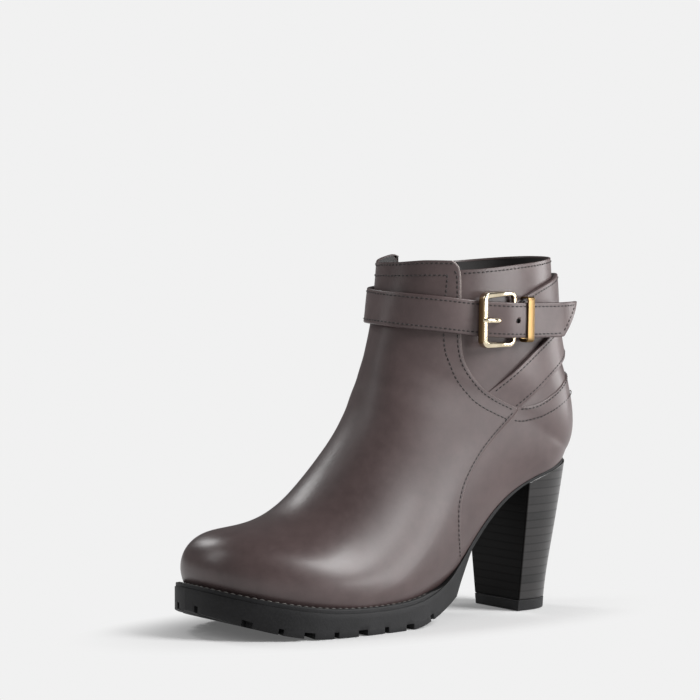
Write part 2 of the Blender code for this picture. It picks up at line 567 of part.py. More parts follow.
def main():
    """Make every sub-part of the boot."""
    for thing in list(bpy.data.objects):
        bpy.data.objects.remove(thing, do_unlink=True)
    parts = bpy.data.collections.new("heeled_ankle_boot")
    bpy.context.scene.collection.children.link(parts)
    cutters = bpy.data.collections.new("lug_cutters")
    bpy.context.scene.collection.children.link(cutters)
    boot = bpy.data.objects.new("boot", None)
    parts.objects.link(boot)

    leather = make_material("taupe_leather", (0.075, 0.062, 0.053), 0.38, 0.0)
    strap_leather = make_material("strap_leather", (0.078, 0.064, 0.055), 0.36, 0.0)
    cross_leather = make_material("cross_strap_leather", (0.077, 0.063, 0.054), 0.37, 0.0)
    rubber = make_material("black_rubber", (0.014, 0.014, 0.014), 0.72, 0.0)
    welt_rubber = make_material("welt_rubber", (0.018, 0.017, 0.017), 0.62, 0.0)
    lift_rubber = make_material("top_piece_rubber", (0.012, 0.012, 0.012), 0.66, 0.0)
    stack = make_material("dark_stacked_leather", (0.024, 0.019, 0.017), 0.42, 0.0)
    lining = make_material("black_lining", (0.012, 0.011, 0.011), 0.85, 0.0)
    frame_gold = make_material("buckle_gold", (0.83, 0.68, 0.42), 0.16, 1.0)
    prong_gold = make_material("prong_gold", (0.82, 0.67, 0.41), 0.18, 1.0)
    keeper_gold = make_material("keeper_gold", (0.78, 0.62, 0.37), 0.3, 1.0)

    def under(s):
        return float(tread(np.float64(s)))

    def sole_top(s):
        return float(seat(np.float64(s))) - GAP

    def insole_low(s):
        return float(seat(np.float64(s)))

    def insole_high(s):
        return float(seat(np.float64(s))) + INSOLE_THICK

    lug_cutters(cutters)
    outsole = add_object("outsole", layer("outsole", station_shares(), ledge, under, sole_top),
                         rubber, parts, boot)
    notch = outsole.modifiers.new("lug notches", "BOOLEAN")
    notch.operation = "DIFFERENCE"
    notch.solver = "EXACT"
    notch.operand_type = "COLLECTION"
    notch.collection = cutters

    add_object("welt", welt_mesh("welt"), welt_rubber, parts, boot)
    insole = layer("insole", station_shares(), -INSOLE_INSET, insole_low, insole_high)
    add_object("insole", insole, lining, parts, boot)

    stops = np.concatenate([
        np.arange(0.0, WAIST_SECTION, 0.5),
        np.arange(WAIST_SECTION, HEEL_SECTION, 0.25),
        np.arange(HEEL_SECTION, LAST_SECTION + 0.1, 0.5),
    ])
    upper_mesh = make_mesh("upper", upper_grid(stops, TURN_CELLS))
    upper = add_object("upper", upper_mesh, leather, parts, boot)
    wall = upper.modifiers.new("wall", "SOLIDIFY")
    wall.thickness = WALL * MM
    wall.offset = -1.0
    wall.use_even_offset = True

    stack_low = TOP_PIECE_THICK + GAP
    add_object("heel_stack", heel_mesh("heel_stack", stack_low, HEEL_BACK[-1][0], 7), stack, parts, boot)
    add_object("heel_top_piece", heel_mesh("heel_top_piece", 0.0, TOP_PIECE_THICK, 1),
               lift_rubber, parts, boot)

    long_strap = strap_mesh("ankle_strap", LONG_STRAP, 84, TAIL_SLANT)
    add_object("ankle_strap", long_strap, strap_leather, parts, boot)
    cross_strap = strap_mesh("buckle_strap", BUCKLE_STRAP, 40, 0.0)
    add_object("buckle_strap", cross_strap, cross_leather, parts, boot)

    front_bar = on_ankle(FRONT_BAR_ANGLE, BUCKLE_MIDDLE, FRONT_BAR_LIFT)[0]
    back_bar = on_ankle(BACK_BAR_ANGLE, BUCKLE_MIDDLE, BACK_BAR_LIFT)[0]
    middle_angle = (FRONT_BAR_ANGLE + BACK_BAR_ANGLE) / 2.0
    upright = on_ankle(middle_angle, BUCKLE_MIDDLE + 10.0, 0.0)[0] \
        - on_ankle(middle_angle, BUCKLE_MIDDLE - 10.0, 0.0)[0]
    frame = ring_curve("buckle_frame", BUCKLE_LENGTH, BUCKLE_HEIGHT, BUCKLE_CORNER,
                       BUCKLE_BAR, BUCKLE_DEPTH)
    buckle = add_object("buckle_frame", frame, frame_gold, parts, boot)
    buckle.matrix_world = frame_at(back_bar - front_bar, upright, (front_bar + back_bar) / 2.0)

    add_object("buckle_prong", prong_curve("buckle_prong"), prong_gold, parts, boot)

    spot, outward = on_ankle(KEEPER_ANGLE, KEEPER_MIDDLE, KEEPER_LIFT)
    upright = on_ankle(KEEPER_ANGLE, KEEPER_MIDDLE + 8.0, 0.0)[0] \
        - on_ankle(KEEPER_ANGLE, KEEPER_MIDDLE - 8.0, 0.0)[0]
    loop = ring_curve("buckle_keeper", KEEPER_ACROSS, KEEPER_HEIGHT, 1.3, KEEPER_WALL, KEEPER_WIDTH)
    keeper = add_object("buckle_keeper", loop, keeper_gold, parts, boot)
    keeper.matrix_world = frame_at(outward, upright, spot)


ANKLE_SURFACE = BVHTree.FromBMesh(upper_grid(np.linspace(0.0, LAST_SECTION, 109), 96))
main()
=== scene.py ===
import math

import bmesh
import bpy
import numpy as np
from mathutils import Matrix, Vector


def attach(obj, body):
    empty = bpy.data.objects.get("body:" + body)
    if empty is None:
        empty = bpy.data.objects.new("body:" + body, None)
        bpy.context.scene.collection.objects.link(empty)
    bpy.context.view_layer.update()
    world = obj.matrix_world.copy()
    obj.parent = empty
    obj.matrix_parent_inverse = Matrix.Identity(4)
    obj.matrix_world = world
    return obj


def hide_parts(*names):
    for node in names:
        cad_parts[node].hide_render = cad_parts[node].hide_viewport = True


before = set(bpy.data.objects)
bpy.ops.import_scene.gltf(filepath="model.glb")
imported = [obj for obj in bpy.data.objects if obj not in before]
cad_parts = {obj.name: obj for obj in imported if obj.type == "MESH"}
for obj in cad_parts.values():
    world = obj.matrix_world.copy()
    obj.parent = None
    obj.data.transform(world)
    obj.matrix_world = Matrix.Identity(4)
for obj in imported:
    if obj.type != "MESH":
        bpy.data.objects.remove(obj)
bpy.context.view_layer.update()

# Left ankle boot. Lengths are millimetres: s runs forward from the back of the counter,
# w to the outer side, z up. place() turns them into the frame's metres.
mm = 0.001
boot = {"stationMid": 114.69, "widthMid": -0.1, "gap": 0.3, "wall": 2.0, "closeRow": 12.0}

# Last: seat (s, z), feather edge (s, outer, inner), back seam (s, z), ridge (s, z, w), and for each section
# its place on foot and ridge, half widths, shares of the height where widest, squareness above and below,
# angle at the foot, how far it follows the toe spring, sag.
last = {
    "seat": ((240.0, 28.6), (228.0, 23.6), (212.0, 18.9), (194.0, 15.0), (174.0, 12.1), (152.0, 11.0),
             (132.0, 11.4), (116.0, 13.6), (104.0, 17.6), (95.0, 22.6), (86.0, 30.6), (77.0, 41.4),
             (64.0, 55.2), (52.0, 63.8), (40.0, 69.2), (26.0, 73.6), (12.0, 77.6), (0.0, 80.6)),
    "feather": ((150.0, 37.0, 36.4), (132.0, 35.2, 33.6), (116.0, 32.0, 29.6), (102.0, 29.2, 26.6),
                (90.0, 27.7, 25.4), (77.0, 27.0, 25.2), (63.0, 26.8, 25.6), (50.0, 26.8, 26.2),
                (38.0, 26.6, 26.4), (28.0, 25.4, 25.4), (19.0, 21.8, 21.8), (12.0, 15.6, 15.6),
                (8.0, 8.6, 8.6), (6.6, 0.0, 0.0)),
    "backSeam": ((6.6, 79.2), (3.6, 84.0), (1.9, 91.0), (1.9, 99.0), (3.3, 109.0), (6.4, 119.0),
                 (10.0, 129.0), (12.8, 140.0), (14.6, 155.0), (15.7, 170.0), (16.8, 182.0)),
    "ridge": ((221.6, 21.8, -6.0), (224.2, 31.0, -6.2), (221.8, 41.2, -6.0), (213.8, 48.4, -5.2),
              (202.4, 51.4, -4.0), (190.2, 53.2, -2.8), (178.2, 57.0, -1.8), (162.4, 68.0, -0.8),
              (147.6, 84.0, 0.0), (135.4, 100.0, 0.0), (128.0, 116.0, 0.0), (122.6, 132.0, 0.0),
              (117.4, 150.0, 0.0), (113.6, 168.0, 0.0), (112.0, 179.6, 0.0)),
    "sections": (
        (0.000, 0.000, 37.6, 37.8, 0.14, 0.30, 2.30, 2.0, 35.0, 1.00, 0.0),
        (0.014, 0.042, 40.0, 40.2, 0.15, 0.30, 2.30, 2.0, 35.0, 0.92, 0.0),
        (0.034, 0.090, 41.6, 41.6, 0.17, 0.30, 2.28, 2.0, 35.0, 0.80, 0.0),
        (0.063, 0.142, 42.5, 42.2, 0.20, 0.30, 2.25, 2.0, 35.0, 0.64, 0.0),
        (0.110, 0.216, 42.8, 42.2, 0.24, 0.30, 2.20, 2.0, 35.0, 0.45, 0.0),
        (0.170, 0.315, 42.4, 41.2, 0.28, 0.31, 2.15, 2.0, 35.0, 0.26, 0.0),
        (0.250, 0.428, 40.6, 38.6, 0.32, 0.33, 2.10, 2.0, 34.0, 0.12, 0.0),
        (0.355, 0.543, 37.6, 35.4, 0.35, 0.35, 2.10, 2.0, 32.0, 0.04, 0.0),
        (0.485, 0.641, 34.9, 33.0, 0.38, 0.38, 2.10, 2.0, 30.0, 0.00, 0.0),
        (0.640, 0.704, 33.4, 32.0, 0.40, 0.40, 2.10, 2.0, 27.0, 0.00, 0.0),
        (0.790, 0.752, 32.8, 31.8, 0.42, 0.42, 2.10, 2.30, 18.7, 0.00, 0.0),
        (0.940, 0.786, 32.6, 31.9, 0.44, 0.44, 2.12, 2.21, 6.5, 0.00, 0.0),
        (1.000, 0.812, 32.6, 32.0, 0.45, 0.45, 2.14, 2.67, 0.0, 0.00, 0.0),
        (1.140, 0.842, 32.7, 32.2, 0.46, 0.46, 2.16, 2.515, 0.0, 0.00, 0.0),
        (1.290, 0.872, 32.9, 32.5, 0.46, 0.46, 2.18, 2.45, 0.0, 0.00, 0.0),
        (1.450, 0.901, 33.1, 32.9, 0.47, 0.47, 2.20, 2.4, 0.0, 0.00, 0.3),
        (1.640, 0.935, 33.5, 33.3, 0.48, 0.48, 2.20, 2.4, 0.0, 0.00, 0.8),
        (1.840, 0.971, 33.8, 33.7, 0.48, 0.48, 2.20, 2.3, 0.0, 0.00, 1.4),
        (2.000, 1.000, 34.0, 34.0, 0.48, 0.48, 2.20, 2.3, 0.0, 0.00, 2.0)),
}
lastRow = len(last["sections"]) - 1


def spline(knots, values):                     # natural cubic through the knots, one column per value
    x = np.asarray(knots, float)
    y = np.asarray(values, float).reshape(len(x), -1)
    h = np.diff(x)
    system = np.eye(len(x))
    right = np.zeros_like(y)
    for i in range(1, len(x) - 1):
        system[i, i - 1:i + 2] = h[i - 1], 2.0 * (h[i - 1] + h[i]), h[i]
        right[i] = 6.0 * ((y[i + 1] - y[i]) / h[i] - (y[i] - y[i - 1]) / h[i - 1])
    bend = np.linalg.solve(system, right)

    def at(t):
        t = np.asarray(t, float)
        i = np.clip(np.searchsorted(x, t, side="right") - 1, 0, len(x) - 2)
        b = ((t - x[i]) / h[i])[..., None]
        a = 1.0 - b
        swing = ((a ** 3 - a) * bend[i] + (b ** 3 - b) * bend[i + 1]) * h[i][..., None] ** 2 / 6.0
        return a * y[i] + b * y[i + 1] + swing

    return at


def runAlong(points):                          # length from the first point to each
    return np.concatenate([[0.0], np.cumsum(np.linalg.norm(np.diff(points, axis=0), axis=1))])


def pathThrough(rows):                         # smooth curve through rows, by share of its length
    points = np.asarray(rows, float)
    run = runAlong(points)
    return spline(run / run[-1], points)


seatRows = np.asarray(last["seat"][::-1])
seatCurve = spline(seatRows[:, 0], seatRows[:, 1])
sectionCurve = spline(range(lastRow + 1), last["sections"])
ridgePath = pathThrough(last["ridge"])
backPath = pathThrough(last["backSeam"])


def seat(s):                                   # underside of the upper and the insole, over the sole
    return seatCurve(s)[..., 0] + boot["gap"]


featherPath = pathThrough([(s, a, b, float(seat(s))) for s, a, b in last["feather"]])


def footOf(base):                              # foot of a section: feather edge to 1, back seam to 2
    low = featherPath(np.clip(base, 0.0, 1.0))
    high = backPath(np.clip(base - 1.0, 0.0, 1.0))
    onEdge = base <= 1.0
    s = np.where(onEdge, low[..., 0], high[..., 0])
    z = np.where(onEdge, seat(low[..., 0]), high[..., 1])
    return s, z, np.where(onEdge, low[..., 1], 0.0), np.where(onEdge, low[..., 2], 0.0)


def upperFace(row, turn):                      # superellipse arcs, foot to widest point to ridge, each side
    columns = np.moveaxis(sectionCurve(row), -1, 0)
    base, head, outerHalf, innerHalf, outerWide, innerWide = columns[:6]
    headSquare, footSquare, leave, follow, sag = columns[6:]
    footS, footZ, footOuter, footInner = footOf(base)
    headS, headZ, headW = np.moveaxis(ridgePath(np.clip(head, 0.0, 1.0)), -1, 0)
    isOuter = turn <= 2.0
    q = np.where(isOuter, turn, 4.0 - turn)
    side = np.where(isOuter, outerHalf, -innerHalf)
    footW = np.where(isOuter, footOuter, -footInner)
    wide = np.where(isOuter, outerWide, innerWide)
    start = np.radians(np.clip(leave, 0.0, 89.0))
    low = start + (math.pi / 2.0 - start) * np.clip(q, 0.0, 1.0)
    high = math.pi / 2.0 * np.clip(q - 1.0, 0.0, 1.0)
    rise = np.abs(np.sin(low)) ** (2.0 / footSquare)
    riseStart = np.abs(np.sin(start)) ** (2.0 / footSquare)
    fall = np.abs(np.cos(low)) ** (2.0 / footSquare)
    fallStart = np.abs(np.cos(start)) ** (2.0 / footSquare)
    lowReach = wide * (1.0 - fall / fallStart)
    lowWidth = side - (side - footW) * (1.0 - rise) / (1.0 - riseStart)
    highReach = wide + (1.0 - wide) * np.abs(np.sin(high)) ** (2.0 / headSquare)
    highWidth = headW + (side - headW) * np.abs(np.cos(high)) ** (2.0 / headSquare)
    reach = np.where(q <= 1.0, lowReach, highReach)
    width = np.where(q <= 1.0, lowWidth, highWidth)
    s = footS + (headS - footS) * reach
    z = footZ + (headZ - footZ) * reach - 4.0 * sag * reach * (1.0 - reach)
    ballS, tipS = last["feather"][0][0], last["ridge"][0][0]
    share = np.clip((s - ballS) / (tipS - ballS), 0.0, 1.0)
    chord = seat(ballS) + (seat(tipS) - seat(ballS)) * share
    z = z + np.clip(follow, 0.0, 1.0) * np.where(s > ballS, seat(np.minimum(s, tipS)) - chord, 0.0)
    return s, width, z


def findOnUpper(points, side):                 # damped Gauss-Newton for the row and turn at each (s, z)
    goal = np.asarray(points, float)
    low, high = (0.0, 2.0) if side > 0 else (2.0, 4.0)
    rows, turns = np.meshgrid(np.linspace(0.0, lastRow, 181), np.linspace(low, high, 121), indexing="ij")
    s, _, z = upperFace(rows, turns)
    near = ((goal[:, None, 0] - s.ravel()) ** 2 + (goal[:, None, 1] - z.ravel()) ** 2).argmin(1)
    row, turn = rows.ravel()[near], turns.ravel()[near]
    for _ in range(12):
        s, _, z = upperFace(row, turn)
        stepR = np.where(row > lastRow - 0.01, -0.01, 0.01)
        stepT = np.where(turn > high - 0.005, -0.005, 0.005)
        sr, _, zr = upperFace(row + stepR, turn)
        st, _, zt = upperFace(row, turn + stepT)
        jac = np.stack([np.stack([(sr - s) / stepR, (st - s) / stepT], -1),
                        np.stack([(zr - z) / stepR, (zt - z) / stepT], -1)], -2)
        miss = np.stack([goal[:, 0] - s, goal[:, 1] - z], -1)
        square = np.einsum("nij,nik->njk", jac, jac) + 0.05 * np.eye(2)
        move = np.linalg.solve(square, np.einsum("nij,ni->nj", jac, miss)[..., None])[..., 0]
        row = np.clip(row + np.clip(move[:, 0], -0.3, 0.3), 0.0, lastRow)
        turn = np.clip(turn + np.clip(move[:, 1], -0.1, 0.1), low, high)
    return row, turn


def ease(x, low, high):                        # smooth step from 0 at low to 1 at high
    t = np.clip((x - low) / (high - low), 0.0, 1.0)
    return t * t * (3.0 - 2.0 * t)


def unit(v):                                   # vectors over their own lengths
    return v / np.linalg.norm(v, axis=-1, keepdims=True)


def place(s, w, z):                            # millimetres on the last to metres in the frame
    s, w, z = np.broadcast_arrays(s, w, z)
    return np.stack([(w - boot["widthMid"]) * mm, (boot["stationMid"] - s) * mm, z * mm], -1)


def wrapTurn(row, turn):                       # past the back seam a turn runs on round the other side
    closed = row >= boot["closeRow"]
    turn = np.where(closed & (turn < 0.0), turn + 4.0, turn)
    turn = np.where(closed & (turn > 4.0), turn - 4.0, turn)
    return np.clip(turn, 0.0, 4.0)


def normalAt(row, turn):                       # cross product of the surface's two slopes
    row, turn = np.broadcast_arrays(np.asarray(row, float), np.asarray(turn, float))
    up, down = np.clip(row + 0.03, 0.0, lastRow), np.clip(row - 0.03, 0.0, lastRow)
    alongRow = place(*upperFace(up, turn)) - place(*upperFace(down, turn))
    alongTurn = place(*upperFace(row, wrapTurn(row, turn + 0.012))) \
        - place(*upperFace(row, wrapTurn(row, turn - 0.012)))
    return unit(np.cross(alongRow, alongTurn))


def skin(row, turn, lift, raiseBy=0.0):        # upper's face, lifted along its normal, collar raised
    row, turn, lift = np.broadcast_arrays(row, turn, np.asarray(lift, float))
    s, w, z = upperFace(row, turn)
    z = z + raiseBy * ease(row, collar["from"], lastRow)
    return place(s, w, z) + normalAt(row, turn) * (lift * mm)[..., None]


# Meshes

def gridFaces(shape, start, closeU, closeV):   # quads between neighbours on a grid
    index = start + np.arange(shape[0] * shape[1]).reshape(shape[0], shape[1])
    if closeU:
        index = np.concatenate([index, index[:1]])
    if closeV:
        index = np.concatenate([index, index[:, :1]], 1)
    return np.stack([index[:-1, :-1], index[1:, :-1], index[1:, 1:], index[:-1, 1:]], -1).reshape(-1, 4)


def capped(rings):                             # closes a tube's ends onto the middles of its end rings
    first = np.broadcast_to(rings[:1].mean(1, keepdims=True), rings[:1].shape)
    final = np.broadcast_to(rings[-1:].mean(1, keepdims=True), rings[-1:].shape)
    return np.concatenate([first, rings, final])


def joinUp(mesh, solid):                       # doubles merged, a solid's faces turned outward
    edit = bmesh.new()
    edit.from_mesh(mesh)
    bmesh.ops.remove_doubles(edit, verts=edit.verts[:], dist=2e-6)
    bmesh.ops.dissolve_degenerate(edit, edges=edit.edges[:], dist=1e-6)
    if solid:
        bmesh.ops.recalc_face_normals(edit, faces=edit.faces[:])
    edit.to_mesh(mesh)
    edit.free()
    return mesh


def meshFrom(name, points, quads):             # plain mesh of four-sided faces
    mesh = bpy.data.meshes.new(name)
    mesh.vertices.add(len(points))
    mesh.vertices.foreach_set("co", np.ascontiguousarray(points, np.float32).ravel())
    mesh.loops.add(quads.size)
    mesh.loops.foreach_set("vertex_index", np.ascontiguousarray(quads, np.int32).ravel())
    mesh.polygons.add(len(quads))
    mesh.polygons.foreach_set("loop_start", np.arange(len(quads), dtype=np.int32) * 4)
    mesh.update(calc_edges=True)
    return mesh


def smoothShade(mesh, sharp):                  # smooth, but for edges that bend more than so many degrees
    mesh.shade_smooth()
    mesh.set_sharp_from_angle(angle=math.radians(sharp))


def bothSides(maker, closed=False):            # a surface of the outer side and one of the inner side
    return [(maker(side), False, closed) for side in (1, -1)]


# Grids come with whether they close along rows and along columns; stands names the CAD nodes replaced
def addPiece(name, grids, finish, stands=(), solid=False, sharp=40.0, ready=None):
    points, quads, start = [], [], 0
    for grid, closeU, closeV in grids:
        quads.append(gridFaces(grid.shape[:2], start, closeU, closeV))
        points.append(grid.reshape(-1, 3))
        start += len(points[-1])
    mesh = joinUp(ready or meshFrom(name, np.concatenate(points), np.concatenate(quads)), solid)
    smoothShade(mesh, sharp)
    mesh.materials.append(finish)
    piece = bpy.data.objects.new(name, mesh)
    bpy.context.scene.collection.objects.link(piece)
    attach(piece, "root")
    if stands:
        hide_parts(*stands)
    print("made", name, len(mesh.polygons), "faces")
    return piece


# Shader maths: an expression on values adds its Math nodes

class Val:
    def __init__(self, tree, socket):
        self.tree = tree
        self.socket = socket

    def put(self, socket, value):
        if isinstance(value, Val):
            self.tree.links.new(value.socket, socket)
        else:
            socket.default_value = value

    def node(self, kind, settings, inputs, out=0):
        made = self.tree.nodes.new(kind)
        for key, value in settings.items():
            setattr(made, key, value)
        for key, value in inputs.items():
            self.put(made.inputs[key], value)
        return Val(self.tree, made.outputs[out])

    def math(self, operation, a, b=0.0):
        return self.node("ShaderNodeMath", {"operation": operation}, {0: a, 1: b})

    def __add__(self, other):
        return self.math("ADD", self, other)

    def __radd__(self, other):
        return self.math("ADD", other, self)

    def __sub__(self, other):
        return self.math("SUBTRACT", self, other)

    def __rsub__(self, other):
        return self.math("SUBTRACT", other, self)

    def __mul__(self, other):
        return self.math("MULTIPLY", self, other)

    def __rmul__(self, other):
        return self.math("MULTIPLY", other, self)

    def __truediv__(self, other):
        return self.math("DIVIDE", self, other)

    def step(self, low, high):                 # smooth 0 to 1 between two values
        return self.node("ShaderNodeMapRange", {"interpolation_type": "SMOOTHSTEP"},
                         {"Value": self, "From Min": low, "From Max": high})

    def noise(self, scale, detail=2.0, rough=0.5):
        inputs = {"Vector": self, "Scale": scale, "Detail": detail, "Roughness": rough}
        return self.node("ShaderNodeTexNoise", {}, inputs)

    def cells(self, scale, feature="F1"):
        return self.node("ShaderNodeTexVoronoi", {"feature": feature}, {"Vector": self, "Scale": scale})

    def tint(self, low, high):                 # colour between two colours
        inputs = {0: self, 6: (*low, 1.0), 7: (*high, 1.0)}
        return self.node("ShaderNodeMix", {"data_type": "RGBA"}, inputs, 2)

    def axis(self, i):                         # one of x, y and z
        return self.node("ShaderNodeSeparateXYZ", {}, {0: self}, i)

    def stretch(self, size):
        return self.node("ShaderNodeMapping", {}, {"Vector": self, "Scale": size})

    def bump(self, strength, distance):
        return self.node("ShaderNodeBump", {}, {"Height": self, "Strength": strength, "Distance": distance})


def startFinish(name, fixed):                  # material, its shader and the object's coordinates
    material = bpy.data.materials.new(name)
    material.use_nodes = True
    tree = material.node_tree
    shader = tree.nodes["Principled BSDF"]
    for socket, value in fixed.items():
        shader.inputs[socket].default_value = value
    spot = Val(tree, tree.nodes.new("ShaderNodeTexCoord").outputs["Object"])

    def feed(socket, value):
        spot.put(shader.inputs[socket], value)

    return material, spot, feed


def leatherFinish(name, look):                 # clouded tone, pebbled bump, duller at the ankle
    material, spot, feed = startFinish(name, {"Coat Roughness": look["coatRough"], "IOR": 1.48})
    cloud = spot.noise(look["cloudScale"], 3.0)
    mottle = spot.noise(look["mottleScale"], 4.0, 0.6)
    feed("Base Color", (cloud * 0.6 + mottle * 0.4).step(0.32, 0.7).tint(look["dark"], look["light"]))
    pebble = spot.cells(look["grainScale"], "SMOOTH_F1")
    pore = spot.cells(look["poreScale"])
    y, z = spot.axis(1), spot.axis(2)
    dull = z.step(*look["dullFrom"]) * (1.0 - z.step(*look["dullTo"])) * (1.0 - y.step(*look["dullBack"]))
    dull = dull * look["dull"]
    feed("Roughness", look["rough"] + (mottle - 0.5) * look["roughSwing"] + (pebble - 0.4) * 0.06 + dull)
    feed("Coat Weight", cloud.step(0.25, 0.75) * look["coatSwing"] + look["coat"] - dull)
    fine = spot.noise(look["fineScale"], 3.0)
    height = pebble * 0.55 + pore.step(0.0, 0.35) * 0.3 + fine * 0.35
    feed("Normal", height.bump(look["bump"], look["bumpDeep"]))
    return material


def plainFinish(name, look):                   # rubber, thread, lining: two tones and a fine bump
    material, spot, feed = startFinish(name, look.get("fixed", {}))
    cloud = spot.noise(look["cloudScale"], 3.0)
    grain = spot.noise(look["grainScale"], 3.0, 0.6)
    feed("Base Color", (cloud * 0.5 + grain * 0.5).step(0.35, 0.65).tint(look["dark"], look["light"]))
    feed("Roughness", look["rough"] + (grain - 0.5) * look["roughSwing"])
    feed("Normal", grain.bump(look["bump"], look["bumpDeep"]))
    return material


def edgeFinish(name, look):                    # cut leather, paler up at the collar
    material, spot, feed = startFinish(name, {"Roughness": 0.75})
    grain = spot.noise(look["grainScale"], 3.0, 0.6)
    pale = spot.axis(2).step(look["fromZ"], look["toZ"]) + (grain - 0.5) * 0.4
    feed("Base Color", pale.tint(look["low"], look["high"]))
    feed("Normal", grain.bump(0.4, 0.0001))
    return material


def goldFinish(name, look, side=None):         # side: a direction, and where along it the face is painted darker, a painted dark reflection, and rougher
    material, spot, feed = startFinish(name, {"Metallic": 1.0})
    brushed = spot.stretch(look["stretch"]).noise(look["scale"], 2.0)
    cloud = spot.noise(90.0, 2.0)
    shade, rough = cloud.step(0.3, 0.7) * 0.3 + 0.7, look["rough"]
    if side:
        along = spot.node("ShaderNodeVectorMath", {"operation": "DOT_PRODUCT"}, {0: spot, 1: side[0]}, 1)
        # painted reflection: the face past that point painted darker, in place of dark surroundings mirrored
        # in polished gold
        face = along.step(side[1] - 0.5 * mm, side[1] - 0.15 * mm)
        shade, rough = shade - face * look["paintedReflectionDark"], face * look["sideRough"] + rough
    feed("Base Color", shade.tint(look["dark"], look["light"]))
    feed("Roughness", (brushed - 0.5) * look["roughSwing"] + rough)
    feed("Normal", brushed.bump(look["bump"], 0.00004))
    return material


def stackFinish(name, look):                   # level lines a layer apart, each layer in its own tone; the breast painted darker as painted shade
    material, spot, feed = startFinish(name, {"Coat Roughness": 0.3, "Specular IOR Level": 0.06})
    side = spot.axis(1).step(look["breast"] + 0.3 * mm, look["breast"] + 1.3 * mm)     # breast: painted shade, and no coat
    wander = spot.noise(60.0, 2.0) - 0.5
    layer = (spot.axis(2) + wander * look["wander"]) / look["layer"]
    share = spot.math("FRACT", layer)
    line = 1.0 - spot.math("ABSOLUTE", share - 0.5).step(0.0, look["line"])
    which = spot.math("FLOOR", layer + 0.5)
    shade = spot.node("ShaderNodeTexWhiteNoise", {"noise_dimensions": "1D"}, {"W": which})
    streak = spot.stretch((1.0, 1.0, 9.0)).noise(260.0, 4.0, 0.65)
    # painted shade: on the breast the tone is pulled towards the dark colour
    tone = (shade * 0.4 + streak * 0.6 - line * 0.2).step(0.05, 0.8) * (side * 0.8 + 0.2)
    feed("Base Color", tone.tint(look["dark"], look["light"]))
    feed("Roughness", look["rough"] + (streak - 0.5) * 0.16 + line * 0.12)
    feed("Coat Weight", (look["coat"] - line * 0.2) * side)
    feed("Normal", (streak * 0.25 - line).bump(look["bump"], 0.00012))
    return material


taupe = {"dark": (0.052, 0.034, 0.0335), "light": (0.075, 0.0505, 0.0495), "cloudScale": 22.0,
         "mottleScale": 160.0, "grainScale": 1250.0, "poreScale": 900.0, "fineScale": 2600.0, "rough": 0.4,
         "roughSwing": 0.1, "coat": 0.14, "coatSwing": 0.1, "coatRough": 0.26, "bump": 0.16,
         "bumpDeep": 0.0001, "dull": 0.12, "dullFrom": (0.06, 0.1), "dullTo": (0.14, 0.165),
         "dullBack": (0.05, 0.08)}
leather = leatherFinish("taupeLeather", taupe)
# straps: a lighter copy of the upper's leather, partly the strap's own tone and partly painted light in place
# of a front fill
strapLeatherToneAndPaintedLight = leatherFinish("strapLeatherToneAndPaintedLight", {
    **taupe, "dark": (0.064, 0.043, 0.0425), "light": (0.09, 0.062, 0.061), "cloudScale": 30.0, "rough": 0.46,
    "dull": 0.0})
rawEdge = edgeFinish("cutLeatherEdge", {
    "low": (0.1, 0.072, 0.07), "high": (0.36, 0.31, 0.29), "fromZ": 0.115, "toZ": 0.165,
    "grainScale": 2200.0})
thread = plainFinish("darkThread", {
    "dark": (0.012, 0.009, 0.009), "light": (0.03, 0.024, 0.023), "cloudScale": 300.0, "grainScale": 5200.0,
    "rough": 0.62, "roughSwing": 0.2, "bump": 0.5, "bumpDeep": 0.0001})
weltThread = plainFinish("weltThread", {
    "dark": (0.045, 0.041, 0.038), "light": (0.1, 0.093, 0.085), "cloudScale": 300.0, "grainScale": 5200.0,
    "rough": 0.6, "roughSwing": 0.2, "bump": 0.5, "bumpDeep": 0.0001})
lining = plainFinish("blackLining", {
    "dark": (0.014, 0.0128, 0.0128), "light": (0.032, 0.0295, 0.0295), "cloudScale": 60.0,
    "grainScale": 1600.0, "rough": 0.72, "roughSwing": 0.2, "bump": 0.35, "bumpDeep": 0.00015})
rubber = plainFinish("blackRubber", {
    "dark": (0.004, 0.004, 0.0045), "light": (0.01, 0.01, 0.011), "cloudScale": 40.0, "grainScale": 900.0,
    "rough": 0.58, "roughSwing": 0.2, "bump": 0.4, "bumpDeep": 0.0002, "fixed": {"Specular IOR Level": 0.28}})
stack = stackFinish("stackedHeel", {
    "dark": (0.0025, 0.0022, 0.0022), "light": (0.016, 0.0145, 0.0145), "layer": 0.0041, "line": 0.16,
    "wander": 0.0004, "rough": 0.4, "bump": 0.16, "coat": 0.85, "breast": 0.07169})
gold = {"dark": (0.62, 0.5, 0.33), "light": (0.8, 0.7, 0.52), "rough": 0.12, "roughSwing": 0.08,
        "scale": 900.0, "stretch": (1.0, 1.0, 1.0), "bump": 0.04}
polishedGold = goldFinish("polishedGold", gold)
keeperGold = goldFinish("keeperGold", {
    **gold, "dark": (0.13, 0.08, 0.032), "light": (0.22, 0.142, 0.062), "rough": 0.3, "roughSwing": 0.12,
    "stretch": (1.0, 1.0, 6.0), "bump": 0.06})
print("finishes ready")


# Upper: quarters, counter and front panel, each a patch of the last's own surface

collar = {"from": 16.0, "rimThick": 1.3,
          "quarterDrop": ((16.0, 0.0), (33.0, -0.1), (43.0, -0.4), (53.6, -0.7), (66.7, -1.5), (78.6, -2.3),
                          (87.5, -2.8), (112.0, -3.4)), "innerShare": 0.3,
          "panelRaise": ((1.2, 1.8), (1.5, 1.8), (1.62, 1.6), (1.75, 0.85), (1.85, 0.3), (1.95, 0.0),
                         (2.05, -0.05), (2.12, -0.3), (2.2, -0.75), (2.69, 4.6), (2.72, 4.2), (2.76, 3.0),
                         (2.8, 2.0)),
          "over": ((0.0, 0.12, 0.1), (0.0, 0.5, 0.17), (0.0, 0.85, 0.1), (0.02, 1.0, -0.05),
                   (0.06, 1.05, 0.0))}


